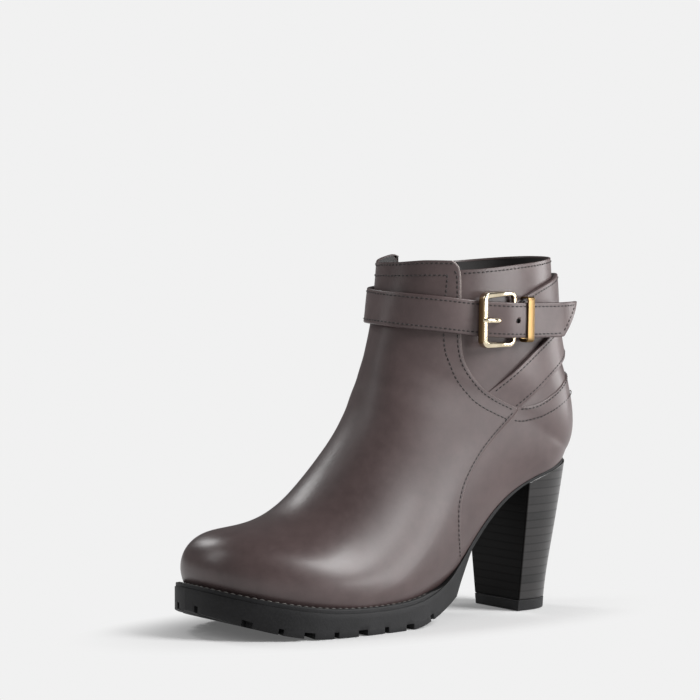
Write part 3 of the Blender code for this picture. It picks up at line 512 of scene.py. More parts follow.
def rimRaise(turn):                            # quarters dip towards the front panel
    s = upperFace(np.full_like(turn, float(lastRow)), turn)[0]
    drop = np.asarray(collar["quarterDrop"])
    return np.interp(s, drop[:, 0], drop[:, 1]) * np.where(turn > 2.0, collar["innerShare"], 1.0)


def panelRaise(turn):                          # front panel's corners stand up, the inner one more
    rise = np.asarray(collar["panelRaise"])
    taps = [np.interp(turn + shift, rise[:, 0], rise[:, 1]) for shift in (-0.03, -0.015, 0.0, 0.015, 0.03)]
    return np.mean(taps, 0)


def withRim(row, turn, lift, raiseBy):         # rows added over the cut edge and a little way down inside
    edge, top = turn[-1:], lift[-1:]
    inside = np.median(top) - collar["rimThick"]
    grids = [skin(row, turn, lift, raiseBy)]
    for back, share, rise in collar["over"]:
        points = skin(np.full_like(edge, lastRow - back), edge, top + (inside - top) * share, raiseBy[-1:])
        grids.append(points + np.array([0.0, 0.0, rise * mm]))
    return np.concatenate(grids)


quarter = {"rows": 150, "turns": 90, "crowd": 1.35, "lift": -0.4, "firstRow": 6.6, "lastTurn": 1.75,
           "seamDeep": 0.55, "seamWide": 0.9, "seamFrom": 11.9, "sunk": 1.3, "sunkUpTo": (93.0, 101.0)}


def seamGroove(row, turn):                     # bell-shaped trough along the back seam
    w = upperFace(row, turn)[1]
    return -quarter["seamDeep"] * np.exp(-(w / quarter["seamWide"]) ** 2) * (row >= quarter["seamFrom"])


def quarterSide(side):                         # from the back seam to under the front panel, waist to collar
    row = np.linspace(quarter["firstRow"], lastRow, quarter["rows"])[:, None]
    share = np.linspace(0.0, 1.0, quarter["turns"])[None, :] ** quarter["crowd"]
    q = share * quarter["lastTurn"] + 0.0 * row
    row = row + 0.0 * q
    turn = q if side > 0 else 4.0 - q
    under = -quarter["sunk"] * (1.0 - ease(upperFace(row, turn)[2], *quarter["sunkUpTo"]))
    grid = withRim(row, turn, quarter["lift"] + seamGroove(row, turn) + under, rimRaise(turn))
    return grid if side > 0 else grid[:, ::-1]


addPiece("quarters", bothSides(quarterSide), leather, stands=("upper",))

# Front panel: from its rear edge on the outer side round the front to the inner side.
# Edge columns: station, height, row that the ruling settles to over the front.
panel = {"lift": 0.5, "toeRows": 110, "edgeRows": 190, "columns": 130, "relax": 0.3,
         "bead": 0.22, "beadLift": 0.16,
         "edge": ((86.6, 28.5, 7.0), (88.3, 33.1, 7.12), (91.3, 41.5, 7.3), (92.3, 50.0, 7.55),
                  (92.3, 56.5, 7.75), (91.0, 63.0, 7.95), (87.9, 70.1, 8.25), (84.9, 74.7, 8.45),
                  (81.1, 79.9, 8.72), (76.6, 85.1, 9.0), (72.2, 89.4, 9.3), (66.9, 94.1, 9.6),
                  (61.0, 99.1, 9.95), (56.8, 102.6, 10.25), (54.5, 105.0, 10.5),
                  (57.5, 106.8, 10.65), (64.0, 109.6, 10.9), (69.7, 112.4, 11.15), (73.8, 115.0, 11.4),
                  (77.6, 118.2, 11.65), (81.0, 122.2, 12.0), (84.2, 126.8, 12.4), (86.3, 131.5, 12.85),
                  (87.4, 137.0, 13.45), (87.9, 143.0, 14.1), (88.2, 150.0, 14.9), (88.4, 157.0, 15.6),
                  (88.6, 164.0, 16.3), (88.7, 170.0, 16.95), (89.1, 174.0, 17.5), (90.4, 176.9, 17.8),
                  (92.8, 178.9, 18.0)), "tip": 14, "corner": 31, "innerBack": 5.0,
         "lip": ((0.0, -0.55), (0.0, 0.05), (0.1, 0.3), (0.35, 0.46), (0.8, 0.5))}
panelEdge = np.asarray(panel["edge"])


def innerSide(points):                         # the inner edge lies further back up at the collar
    s, z = np.asarray(points, float)[:, 0], np.asarray(points, float)[:, 1]
    return np.column_stack([s - panel["innerBack"] * ease(z, 120.0, 165.0), z])


edgeRow, edgeTurn = findOnUpper(panelEdge[:, :2], 1)
innerEdge = innerSide(panelEdge)
innerEdge[-3:, 0] = innerEdge[-4, 0]           # a square corner there
innerRow, innerTurn = findOnUpper(innerEdge, 1)
innerRow[-1] = lastRow
edgeTurn[0] = innerTurn[0] = 0.0
edgeRun = runAlong(panelEdge[:, :2])
edgeCurve = spline(edgeRun, np.column_stack([edgeRow, edgeTurn, panelEdge[:, 2], innerRow, innerTurn]))

# Creases: soft troughs across the vamp and the instep. Columns: station, height, lean, reach, wide, deep.
creases = ((150.0, 60.0, -0.15, 30.0, 6.0, 0.16), (163.0, 48.0, -0.1, 26.0, 5.0, 0.12),
           (124.0, 104.0, 0.35, 22.0, 5.0, 0.18), (121.0, 118.0, 0.3, 24.0, 4.5, 0.14))


def creaseLift(row, turn):                     # troughs across slanted lines, each with a ridge beside it
    s, w, z = upperFace(row, turn)
    total = np.zeros_like(s)
    for s0, z0, lean, reach, wide, deep in creases:
        across = (z - z0) * math.cos(lean) - (s - s0) * math.sin(lean)
        fade = np.exp(-((s - s0) / reach) ** 2 - (w / 34.0) ** 4)
        trough, ridge = np.exp(-(across / wide) ** 2), np.exp(-((across - 1.7 * wide) / wide) ** 2)
        total += deep * fade * (0.7 * ridge - trough)
    return total


def panelGrid():                               # rulings from edge to edge, with a thin lip along both edges
    toe = np.linspace(0.0, edgeCurve(0.0)[0], panel["toeRows"], endpoint=False)
    rear = edgeCurve(np.linspace(0.0, edgeRun[-1], panel["edgeRows"]))
    startRow = np.concatenate([toe, np.clip(rear[:, 0], 0.0, lastRow)])[:, None]
    startTurn = np.concatenate([0.0 * toe, np.clip(rear[:, 1], 0.0, 2.0)])[:, None]
    midRow = np.concatenate([toe, np.clip(rear[:, 2], 0.0, lastRow)])[:, None]
    endRow = np.concatenate([toe, np.clip(rear[:, 3], 0.0, lastRow)])[:, None]
    endTurn = 4.0 - np.concatenate([0.0 * toe, np.clip(rear[:, 4], 0.0, 2.0)])[:, None]
    lip = np.asarray(panel["lip"])
    reach = 150.0 * (2.0 - startTurn) / 2.0 + 20.0          # rough width of a ruling
    inner = np.linspace(0.0, 1.0, panel["columns"])[None, :]
    inner = 0.5 - 0.5 * np.cos(inner * math.pi) * (1.0 - 0.35 * np.sin(inner * math.pi) ** 2)
    first = lip[-1, 0] / reach
    middle = first + (1.0 - 2.0 * first) * inner
    share = np.concatenate([lip[:-1, 0] / reach, middle, 1.0 - lip[-2::-1, 0] / reach], 1)
    lift = np.concatenate([lip[:-1, 1], np.full(panel["columns"], panel["lift"]), lip[-2::-1, 1]])[None, :]
    nearStart, nearEnd = ((1.0 - np.clip(x / panel["relax"], 0.0, 1.0)) ** 4 for x in (share, 1.0 - share))
    row = midRow + (startRow - midRow) * nearStart + (endRow - midRow) * nearEnd
    turn = startTurn + (endTurn - startTurn) * share
    lift = lift + creaseLift(row, turn) * ease(share, 0.0, 0.06) * ease(1.0 - share, 0.0, 0.06)
    return withRim(row, turn, lift, panelRaise(turn))


addPiece("frontPanel", [(panelGrid(), False, False)], leather)

# Counter: heel cup laid over the quarters, from the sole up to its band
counter = {"lift": 0.18, "rows": 240, "columns": 80, "firstRow": 6.8, "seamTop": 124.0, "axis": 42.0,
           "fairRows": (8.5, 16.0), "fairTop": 128.0, "fairOrder": (6, 4),
           "fairSpan": (1.7, 98.0, 30.0),              # angle, middle height, half height
           "foldRow": 11.45, "foldReach": 0.9, "foldPasses": 150,
           "top": ((57.0, 107.3), (52.7, 106.7), (45.8, 106.9), (39.0, 108.3), (31.4, 111.4), (25.5, 114.4),
                   (20.3, 117.6), (14.0, 121.2)),
           "lip": ((0.0, -0.5), (0.0, -0.12), (0.12, 0.08), (0.4, 0.18))}
seamRows = np.linspace(boot["closeRow"], lastRow, 200)


def seamRowAt(z):                              # row at a height on the back seam
    return np.interp(z, upperFace(seamRows, 0.0 * seamRows)[2], seamRows)


seamTopRow = seamRowAt(counter["seamTop"])
counterRow, counterTurn = findOnUpper(counter["top"], 1)
counterRow = np.append(counterRow, seamTopRow)
counterTurn = np.append(counterTurn, 0.0)


def evenRows(first, final, count, turns):      # rows an equal length apart, on average over some turns
    rows = np.linspace(first, final, 4000)
    run = np.zeros(len(rows))
    for turn in turns:
        run += runAlong(place(*upperFace(rows, np.full_like(rows, turn))))
    return np.interp(np.linspace(0.0, run[-1], count), run, rows)


def heelPolar(row, turn):                      # angle and radius about an upright axis, and height
    s, w, z = upperFace(row, turn)
    back = counter["axis"] - s
    return np.arctan2(w, back), np.hypot(back, w), z


def heelBasis(angle, height):                  # Legendre polynomials of both
    across, middle, up = counter["fairSpan"]
    return np.polynomial.legendre.legvander2d(angle / across, (height - middle) / up, counter["fairOrder"])


def fairHeel():                                # radius as a low polynomial of angle and height, by area
    turns = np.concatenate([np.linspace(0.0, 1.0, 61), np.linspace(3.0, 4.0, 61)])
    grids = np.meshgrid(np.linspace(*counter["fairRows"], 150), turns, indexing="ij")
    angle, radius, height = heelPolar(*grids)
    (angleRow, angleTurn), (highRow, highTurn) = np.gradient(angle), np.gradient(height)
    weight = np.sqrt(np.abs(angleRow * highTurn - angleTurn * highRow))
    keep = (np.abs(angle) < counter["fairSpan"][0]) & (height < counter["fairTop"])
    basis = heelBasis(angle[keep], height[keep]) * weight[keep][:, None]
    return np.linalg.lstsq(basis, radius[keep] * weight[keep], rcond=None)[0]


heelFit = fairHeel()


def fairMove(row, turn, share):                # from the upper's face to the fair one
    angle, radius, height = heelPolar(row, turn)
    fade = ease(1.5 - np.abs(angle), 0.0, 0.5)             # to nothing forward of the heel
    fade = fade * ease(1.0 - share, 0.04, 0.3)             # up at the band
    fade = fade * ease(row, 9.2, 10.6)                     # and towards the waist
    move = (heelBasis(angle, height) @ heelFit - radius) * fade * mm
    return np.stack([np.sin(angle) * move, np.cos(angle) * move, 0.0 * move], -1)


def smoothFold(grid, rows, share):             # near the fold each point moves to its neighbours' mean
    near = np.exp(-((rows - counter["foldRow"]) / counter["foldReach"]) ** 2)
    inside = (near * ease(1.0 - share, 0.02, 0.12))[1:-1, 1:-1, None]
    for _ in range(counter["foldPasses"]):
        mean = (grid[:-2, 1:-1] + grid[2:, 1:-1] + grid[1:-1, :-2] + grid[1:-1, 2:]) / 4.0
        grid[1:-1, 1:-1] += inside * (mean - grid[1:-1, 1:-1])
    return grid


def counterSide(side):                         # from the sole or the back seam up to the counter's top edge
    row = evenRows(counter["firstRow"], seamTopRow - 0.01, counter["rows"], (0.0, 0.1, 0.6))
    order = np.argsort(counterRow[1:])
    top = np.interp(row, counterRow[1:][order], counterTurn[1:][order], left=1.02)
    lip = np.asarray(counter["lip"])
    edge = 1.0 - lip[:, 0][None, :] / np.maximum(60.0 * top[:, None], 0.8)
    flat = np.linspace(0.0, 1.0, counter["columns"])[None, :] * edge[:, -1:]
    share = np.concatenate([flat, edge[:, -2::-1]], 1)
    lift = np.concatenate([np.full(counter["columns"], counter["lift"]), lip[-2::-1, 1]])[None, :]
    q = share * top[:, None]
    rows = row[:, None] + 0.0 * q
    turn = q if side > 0 else 4.0 - q
    grid = skin(rows, turn, lift + seamGroove(rows, turn)) + fairMove(rows, turn, share)
    grid = smoothFold(grid, rows, share)
    return grid if side > 0 else grid[:, ::-1]


addPiece("counter", bothSides(counterSide), leather)


def liningGrid():                              # inside of the upper, a wall's thickness in
    row = np.linspace(lastRow, 0.0, 130)[:, None]
    turn = np.linspace(0.0, 4.0, 181)[None, :] + 0.0 * row
    row = row + 0.0 * turn
    front = ease(turn, 1.3, 1.38) * (1.0 - ease(turn, 2.66, 2.74))      # 1 behind the front panel
    raiseBy = rimRaise(turn) * (1.0 - front) + panelRaise(turn) * front
    outside = quarter["lift"] + (panel["lift"] - quarter["lift"]) * front
    top = outside - collar["rimThick"] + 0.05
    lift = top + (-boot["wall"] - top) * ease(lastRow - row, 0.1, 1.2)
    return skin(row, turn, lift, raiseBy - 0.12)


addPiece("lining", [(liningGrid(), False, False)], lining)

# Stitches

stitchLook = {"long": 1.8, "pitch": 2.4, "half": 0.33, "sides": 6,
              "rings": ((-1.0, 0.0), (-0.82, 0.7), (-0.3, 1.0), (0.3, 1.0), (0.82, 0.7), (1.0, 0.0))}


def stitchGrid(lines, look):                   # a small lozenge at each pitch along (points, normals)
    spots, ahead, up = [], [], []
    for points, normals in lines:
        run = runAlong(points)
        count = max(2, int(run[-1] / (look["pitch"] * mm)))
        at = (np.arange(count) + 0.5) * run[-1] / count
        half = 0.5 * look["long"] * mm

        def along(values, shift):
            return np.stack([np.interp(at + shift, run, values[:, i]) for i in range(3)], -1)

        spots.append(along(points, 0.0))
        ahead.append(along(points, half) - along(points, -half))
        up.append(along(normals, 0.0))
    spots, ahead, up = np.concatenate(spots), unit(np.concatenate(ahead)), unit(np.concatenate(up))
    side = unit(np.cross(up, ahead))
    rings = np.asarray(look["rings"])
    turn = np.arange(look["sides"]) * 2.0 * math.pi / look["sides"]
    x = rings[:, :1] * 0.5 * look["long"] * mm + 0.0 * turn
    y = rings[:, 1:] * np.cos(turn) * look["half"] * mm
    z = rings[:, 1:] * np.sin(turn) * look["half"] * 0.8 * mm - 0.15 * mm * rings[:, :1] ** 2
    return spots[:, None, None, :] + x[None, :, :, None] * ahead[:, None, None, :] \
        + y[None, :, :, None] * side[:, None, None, :] + z[None, :, :, None] * up[:, None, None, :]


def addStitches(name, lines, finish, look=stitchLook):
    shape = stitchGrid(lines, look)
    one = gridFaces(shape.shape[1:3], 0, False, True)
    first = np.arange(len(shape)) * shape.shape[1] * shape.shape[2]
    quads = (one[None] + first[:, None, None]).reshape(-1, 4)
    mesh = meshFrom(name, shape.reshape(-1, 3), quads)
    return addPiece(name, [], finish, solid=True, ready=mesh)


def seamLine(points, side, lift, endZ=None):   # (s, z) points as a smooth line, on to the back seam
    row, turn = findOnUpper(pathThrough(points)(np.linspace(0.0, 1.0, 120)), side)
    if endZ:
        more = np.linspace(0.0, 1.0, 16)[1:]
        row = np.concatenate([row, row[-1] + (seamRowAt(endZ) - row[-1]) * more])
        turn = np.concatenate([turn, turn[-1] + ((0.0 if side > 0 else 4.0) - turn[-1]) * more])
    return skin(row, turn, lift), normalAt(row, turn)


def besideEdge(points, away):                  # points moved square to their own line
    points = np.asarray(points, float)
    slope = unit(np.gradient(points, axis=0))
    return points + away * np.column_stack([slope[:, 1], -slope[:, 0]])


seams = {"panelInset": 1.7, "threadLift": 0.16,
         "panelOuter": ((94.9, 174.2), (95.3, 168.0), (95.8, 163.0), (96.2, 156.0), (96.4, 150.0),
                        (96.3, 145.0), (96.0, 140.3), (95.3, 134.7), (93.9, 130.2), (91.6, 124.0),
                        (88.6, 118.7), (84.9, 114.0), (81.7, 110.7), (77.8, 107.9), (71.7, 104.8),
                        (65.6, 102.1), (61.5, 100.4)),
         "counterUpper": ((52.7, 105.3), (45.8, 105.5), (39.0, 106.9), (31.4, 110.0), (25.5, 113.0),
                          (20.3, 116.2), (14.0, 119.9), (9.5, 122.2)),
         "counterLower": ((57.0, 99.8), (52.5, 99.2), (45.7, 99.8), (38.9, 100.9), (32.9, 102.8),
                          (27.4, 104.7), (22.8, 106.7), (18.7, 108.3), (13.5, 110.4), (8.5, 112.2)),
         "counterUpperEnd": 122.6, "counterLowerEnd": 113.4,
         "quarterRim": 1.8, "panelRims": ((1.35, 0.62), (6.6, 0.57))}       # below the edge, reach in turns
panelHigh = panel["lift"] + seams["threadLift"]
counterHigh = counter["lift"] + seams["threadLift"]
quarterHigh = quarter["lift"] + seams["threadLift"]
panelLines = []
counterLines = []
for side in (1, -1):
    inset = besideEdge(panelEdge[:, :2] if side > 0 else innerEdge, seams["panelInset"])
    outer = seams["panelOuter"] if side > 0 else innerSide(seams["panelOuter"])
    for points in (inset[1:panel["tip"]], inset[panel["tip"] + 1:panel["corner"]], outer):
        panelLines.append(seamLine(points, side, panelHigh))
    for name in ("counterUpper", "counterLower"):
        counterLines.append(seamLine(seams[name], side, counterHigh, seams[name + "End"]))


def rimLine(below, turns, lift, raiseBy):      # a line round the collar, so far below its edge
    edge, lower = (upperFace(np.full_like(turns, row), turns)[2] for row in (lastRow, lastRow - 1.0))
    row = lastRow - below / (edge - lower)
    return skin(row, turns, lift, raiseBy), normalAt(row, turns)


for below, reach in seams["panelRims"]:
    turns = np.linspace(2.0 - reach, 2.0 + reach, 80)
    panelLines.append(rimLine(below, turns, panelHigh, panelRaise(turns)))
backTurns = np.linspace(0.02, 1.31, 80)
for turns in (backTurns, 4.0 - backTurns):
    counterLines.append(rimLine(seams["quarterRim"], turns, quarterHigh, rimRaise(turns)))


def cutEdge(side):                             # thin round bead along the front panel's cut rear edge
    fine = edgeCurve(np.linspace(0.0, edgeRun[-1], 260))
    row, turn = (fine[:, 0], fine[:, 1]) if side > 0 else (fine[:, 3], 4.0 - fine[:, 4])
    row, turn = np.clip(row, 0.0, lastRow), np.clip(turn, 0.0, 4.0)
    middle = skin(row, turn, panel["beadLift"], panelRaise(turn))
    up = normalAt(row, turn)
    ahead = unit(np.gradient(middle, axis=0))
    across = unit(np.cross(up, ahead))
    spin = np.linspace(0.0, 2.0 * math.pi, 8, endpoint=False)[None, :, None]
    ring = across[:, None] * np.cos(spin) + up[:, None] * np.sin(spin)
    return capped(middle[:, None] + ring * panel["bead"] * mm)


addPiece("panelCutEdge", bothSides(cutEdge, True), rawEdge, solid=True)
addStitches("panelStitches", panelLines, thread)
addStitches("counterStitches", counterLines, thread)

# Ankle as distance from its axis, over angle and height, read from the upper's face

ankle = {"station": 64.0, "perDegree": 0.68, "low": 92.0, "high": 181.0}


def ankleTable():                              # rows resampled to even angles, then angles to even heights
    rows, turns = np.meshgrid(np.linspace(9.0, lastRow, 181), np.linspace(0.0, 4.0, 961), indexing="ij")
    s, w, z = upperFace(rows, turns)
    angle = np.degrees(np.arctan2(w, s - ankle["station"]))
    angle[:, -1] = -np.abs(angle[:, -1])
    away = np.hypot(s - ankle["station"], w)
    evenAngle = np.linspace(-180.0, 180.0, 721)
    evenHeight = np.arange(ankle["low"], ankle["high"] + 0.25, 0.5)
    heights = np.stack([np.interp(evenAngle, a[::-1], v[::-1]) for a, v in zip(angle, z)])
    reaches = np.stack([np.interp(evenAngle, a[::-1], v[::-1]) for a, v in zip(angle, away)])
    return np.stack([np.interp(evenHeight, h, r) for h, r in zip(heights.T, reaches.T)])


reachTable = ankleTable()


def ankleSpot(angle, height):                  # point on the upper, from the table read bilinearly
    a = (np.mod(angle + 180.0, 360.0)) * 2.0
    h = (np.clip(height, ankle["low"], ankle["high"] - 0.01) - ankle["low"]) * 2.0
    i, j = np.clip(a.astype(int), 0, 719), np.clip(h.astype(int), 0, reachTable.shape[1] - 2)
    u, v = a - i, h - j
    low = reachTable[i, j] * (1.0 - u) + reachTable[i + 1, j] * u
    high = reachTable[i, j + 1] * (1.0 - u) + reachTable[i + 1, j + 1] * u
    away = low * (1.0 - v) + high * v
    turn = np.radians(angle)
    return place(ankle["station"] + away * np.cos(turn), away * np.sin(turn), height)


def onAnkle(angle, height, lift):              # lifted along the normal, from slopes over a few millimetres
    angle, height, lift = np.broadcast_arrays(*(np.asarray(x, float) for x in (angle, height, lift)))
    roundabout = ankleSpot(angle + 3.0, height) - ankleSpot(angle - 3.0, height)
    upward = ankleSpot(angle, height + 2.0) - ankleSpot(angle, height - 2.0)
    normal = unit(np.cross(roundabout, upward))
    turn = np.radians(angle)
    out = np.stack([np.sin(turn), -np.cos(turn), 0.0 * turn], -1)
    normal = normal * np.sign((normal * out).sum(-1, keepdims=True))
    return ankleSpot(angle, height) + normal * (lift * mm)[..., None], normal


# Straps. Route columns: angle round the ankle, height, lift off the leather
strap = {"width": 17.6, "thick": 2.2, "round": 0.65, "crown": 0.12, "slant": 9.0, "settle": 0.4,
         "tail": 1.008, "stitchIn": 1.9,
         "long": ((88.0, 109.0, 0.5), (110.0, 118.3, 0.5), (139.0, 133.4, 0.5), (159.0, 140.2, 0.5),
                  (180.0, 144.2, 0.5), (200.0, 148.0, 0.5), (220.0, 153.0, 0.5), (242.0, 157.8, 0.5),
                  (270.0, 160.2, 0.8), (315.0, 158.8, 1.8), (345.0, 157.4, 1.8), (360.0, 156.6, 1.8),
                  (398.0, 154.2, 1.4), (421.0, 152.2, 0.7), (436.0, 151.4, 1.8), (452.0, 150.9, 4.1),
                  (466.0, 150.6, 4.2), (476.0, 150.4, 4.7), (486.0, 150.2, 6.4), (498.0, 150.0, 10.4)),
         "short": ((272.0, 109.0, 0.5), (257.0, 116.6, 0.5), (245.0, 124.6, 0.9), (231.0, 135.6, 3.1),
                   (214.0, 148.8, 3.2), (198.0, 158.0, 3.2), (184.0, 162.6, 3.2), (172.0, 164.2, 3.0),
                   (160.0, 164.0, 0.5), (145.0, 161.8, 0.5), (129.0, 158.2, 0.5), (115.0, 154.2, 0.5),
                   (105.0, 151.8, 0.5))}


def roundedSection(wide, tall, radius, flat, arc):     # closed outline of a bar: corners are quarter circles
    turn = np.linspace(0.0, math.pi / 2.0, arc)
    corners = []
    for i, (x, y) in enumerate(((1, 1), (-1, 1), (-1, -1), (1, -1))):
        spin = turn + i * math.pi / 2.0
        corners.append(np.column_stack([x * (wide / 2.0 - radius) + radius * np.cos(spin),
                                        y * (tall / 2.0 - radius) + radius * np.sin(spin)]))
    share = np.linspace(0.0, 1.0, flat + 2)[1:-1, None]
    out = []
    for i in range(4):
        out.append(corners[i])
        if i % 2 == 0:
            out.append(corners[i][-1] + (corners[(i + 1) % 4][0] - corners[i][-1]) * share)
    return np.concatenate(out)


def strapFace(route, slant, along, across, up):        # route on the ankle; across and up are mm in the strap
    rows = np.asarray(route)
    steps = np.hypot(np.diff(rows[:, 0]) * ankle["perDegree"], np.diff(rows[:, 1]))
    run = np.concatenate([[0.0], np.cumsum(steps)])
    length = run[-1]
    centre = spline(run / length, rows[:, :2])
    far = slant * np.maximum(0.0, along - 0.85) / 0.15
    near = strap["slant"] * np.maximum(0.0, 0.15 - along) / 0.15
    t = along + across / strap["width"] * (far - near) / length

    def middle(share):
        spot = centre(share)
        return onAnkle(spot[..., 0], spot[..., 1], 0.0)

    spot, normal = middle(t)
    ahead = middle(t + 0.004)[0] - middle(t - 0.004)[0]
    side = unit(np.cross(normal, ahead))
    side = side * np.where(side[..., 2:] < 0.0, -1.0, 1.0)
    edge = spot + side * (across * mm)[..., None]
    angle = np.degrees(np.arctan2(edge[..., 0] / mm + boot["widthMid"],
                                  boot["stationMid"] - ankle["station"] - edge[..., 1] / mm))
    taps = [np.interp(t + shift / length, run / length, rows[:, 2]) for shift in (-4.0, -2.0, 0.0, 2.0, 4.0)]
    lift = np.mean(taps, 0)
    lift = lift - strap["settle"] * (1.0 - ease(lift, 0.6, 1.3))
    sewn = ease(along * length, -4.0, 24.0)            # end thins to slip under the front panel
    lift = lift * sewn - 0.3 * (1.0 - sewn) + (up + strap["thick"] / 2.0) * (0.12 + 0.88 * sewn)
    return onAnkle(angle, edge[..., 2] / mm, lift)


def strapGrid(route, slant, count, start):     # slightly crowned section, carried along the route
    section = roundedSection(strap["width"], strap["thick"], strap["round"], 12, 6)
    crown = strap["crown"] * (1.0 - (2.0 * section[:, 0] / strap["width"]) ** 2) * np.sign(section[:, 1])
    along = np.linspace(start, strap["tail"], count)[:, None]
    across = section[None, :, 0] + 0.0 * along
    up = (section[:, 1] + crown)[None, :] + 0.0 * along
    return capped(strapFace(route, slant, along + 0.0 * across, across, up)[0])


def strapRows(route, slant, first, final):     # two rows of stitches, near both edges
    along = np.linspace(first, final, 400)
    top = strap["thick"] / 2.0 + 0.0 * along
    edge = strap["width"] / 2.0 - strap["stitchIn"]
    lines = []
    for across in (edge, -edge):
        spot, normal = strapFace(route, slant, along, across + 0.0 * along, top)
        lines.append((spot + normal * (0.14 * mm), normal))
    return lines


longGrid = strapGrid(strap["long"], strap["slant"], 420, -0.02)
longStrap = addPiece("longStrap", [(longGrid, False, True)], strapLeatherToneAndPaintedLight,
                     stands=("ankle_strap",), solid=True)
shortGrid = strapGrid(strap["short"], 0.0, 200, -0.035)
addPiece("shortStrap", [(shortGrid, False, True)], strapLeatherToneAndPaintedLight,
         stands=("buckle_strap",), solid=True)
tailAcross = np.linspace(-6.0, 6.0, 40)
tailSpot, tailNormal = strapFace(strap["long"], strap["slant"], 1.0015 + 0.0 * tailAcross, tailAcross,
                                 strap["thick"] / 2.0 + 0.1 + 0.0 * tailAcross)
addStitches("longStrapStitches", strapRows(strap["long"], strap["slant"], 0.012, 1.0)
            + [(tailSpot + tailNormal * (0.08 * mm), tailNormal)], thread)
addStitches("shortStrapStitches", strapRows(strap["short"], 0.0, 0.02, 0.995), thread)

# Spare hole in the long strap: cut into it, with a dark cup inside as painted shade
hole = {"angle": 97.0, "height": 150.5, "radius": 1.25, "lift": 4.15, "deep": 1.5, "sides": 24}


def holeRings(shares, heights):                # circles on the strap, each so wide and so far off its top
    turn = np.linspace(0.0, 2.0 * math.pi, hole["sides"], endpoint=False)[None, :]
    share, up = np.array(shares)[:, None], np.array(heights)[:, None]
    angle = hole["angle"] + share * hole["radius"] * np.cos(turn) / ankle["perDegree"] * 1.2
    height = hole["height"] + share * hole["radius"] * np.sin(turn)
    return onAnkle(angle, height, hole["lift"] + strap["thick"] + up + 0.0 * turn)[0]


def settle(piece):                             # its modifiers become its mesh
    bpy.context.view_layer.update()
    made = bpy.data.meshes.new_from_object(piece.evaluated_get(bpy.context.evaluated_depsgraph_get()))
    piece.modifiers.clear()
    piece.data = made
    return made


def softenEdges(piece, width, angle, segments=3, harden=True):
    edges = piece.modifiers.new("softEdges", "BEVEL")
    edges.width = width * mm
    edges.segments = segments
    edges.limit_method = "ANGLE"
    edges.angle_limit = math.radians(angle)
    edges.harden_normals = harden


def cutAway(piece, cutter):                    # takes the cutter's shape out of a piece, for good
    tool = bpy.data.objects.new("cutter", cutter)
    bpy.context.scene.collection.objects.link(tool)
    cut = piece.modifiers.new("cut", "BOOLEAN")
    cut.operation = "DIFFERENCE"
    cut.solver = "EXACT"
    cut.object = tool
    settle(piece)
    bpy.data.objects.remove(tool)


def closedTube(name, rings):                   # solid mesh of a capped tube, for cutting
    shape = capped(rings)
    return joinUp(meshFrom(name, shape.reshape(-1, 3), gridFaces(shape.shape[:2], 0, False, True)), True)


cutAway(longStrap, closedTube("holeTool", holeRings((1.0, 1.0, 1.0), (-hole["deep"], 0.0, 1.0))))
# dark cup of lining in the hole: painted shade, standing in for the hole's shadow
addPiece("strapHolePaintedShade", [(holeRings((1.0, 0.97, 0.97, 0.0), (-0.25, -0.3, -1.45, -1.45)), False, True)], lining)

# Buckle: a bar carried round a rounded rectangle, deep at the front, tapering to the back
buckle = {"long": 23.0, "tall": 28.0, "corner": 4.0, "middle": 151.3, "frontAngle": 66.0, "frontLift": 5.2,
          "backAngle": 95.0, "backLift": 2.1, "frontBar": 2.9, "armFront": 3.3, "backBar": 2.0,
          "frontDeep": 4.6, "backDeep": 2.5}


def loopPath(wide, tall, radius, flat, arc):   # rounded rectangle and the way out of it, at each point
    turn = np.linspace(0.0, math.pi / 2.0, arc)
    share = np.linspace(0.0, 1.0, flat + 2)[1:-1, None]
    corners = np.array([(1, 1), (-1, 1), (-1, -1), (1, -1)]) * (wide / 2.0 - radius, tall / 2.0 - radius)
    points, outs = [], []
    for i in range(4):
        angle = turn + i * math.pi / 2.0
        out = np.column_stack([np.cos(angle), np.sin(angle)])
        points.append(corners[i] + radius * out)
        outs.append(out)
        following = corners[(i + 1) % 4] + radius * out[-1]
        points.append(points[-1][-1] + (following - points[-1][-1]) * share)
        outs.append(np.repeat(out[-1:], flat, 0))
    return np.concatenate(points), np.concatenate(outs)


def axesFrom(ahead, upright):                  # three square directions, the first kept
    x = unit(ahead)
    z = unit(np.cross(x, upright))
    return x, np.cross(z, x), z


def uprightAt(angle, height, reach):           # the ankle's own way up at a spot
    return onAnkle(angle, height + reach, 0.0)[0] - onAnkle(angle, height - reach, 0.0)[0]


frontSpot, backSpot = (onAnkle(buckle[end + "Angle"], buckle["middle"], buckle[end + "Lift"])[0]
                       for end in ("front", "back"))


def buckleGrid():                              # bar's width and depth follow how far forward it is
    angle = (buckle["frontAngle"] + buckle["backAngle"]) / 2.0
    x, y, z = axesFrom(backSpot - frontSpot, uprightAt(angle, buckle["middle"], 10.0))
    points, outs = loopPath(buckle["long"], buckle["tall"], buckle["corner"], 14, 9)
    forward = 0.5 - points[:, 0] / buckle["long"]
    onArm = np.abs(outs[:, 1])
    armWide = buckle["backBar"] + (buckle["armFront"] - buckle["backBar"]) * forward
    endWide = np.where(points[:, 0] < 0.0, buckle["frontBar"], buckle["backBar"])
    wide = endWide + (armWide - endWide) * ease(onArm, 0.0, 0.9)
    deep = buckle["backDeep"] + (buckle["frontDeep"] - buckle["backDeep"]) * ease(forward, 0.35, 1.0)
    section = roundedSection(1.0, 1.0, 0.24, 2, 6)
    inward = (section[:, 0][None, :] - 0.5) * wide[:, None]
    outward = section[:, 1][None, :] * deep[:, None] + 0.1
    flat = points[:, None, :] + outs[:, None, :] * inward[..., None]
    middle = (frontSpot + backSpot) / 2.0
    return middle + (flat[..., :1] * x + flat[..., 1:] * y + outward[..., None] * z) * mm


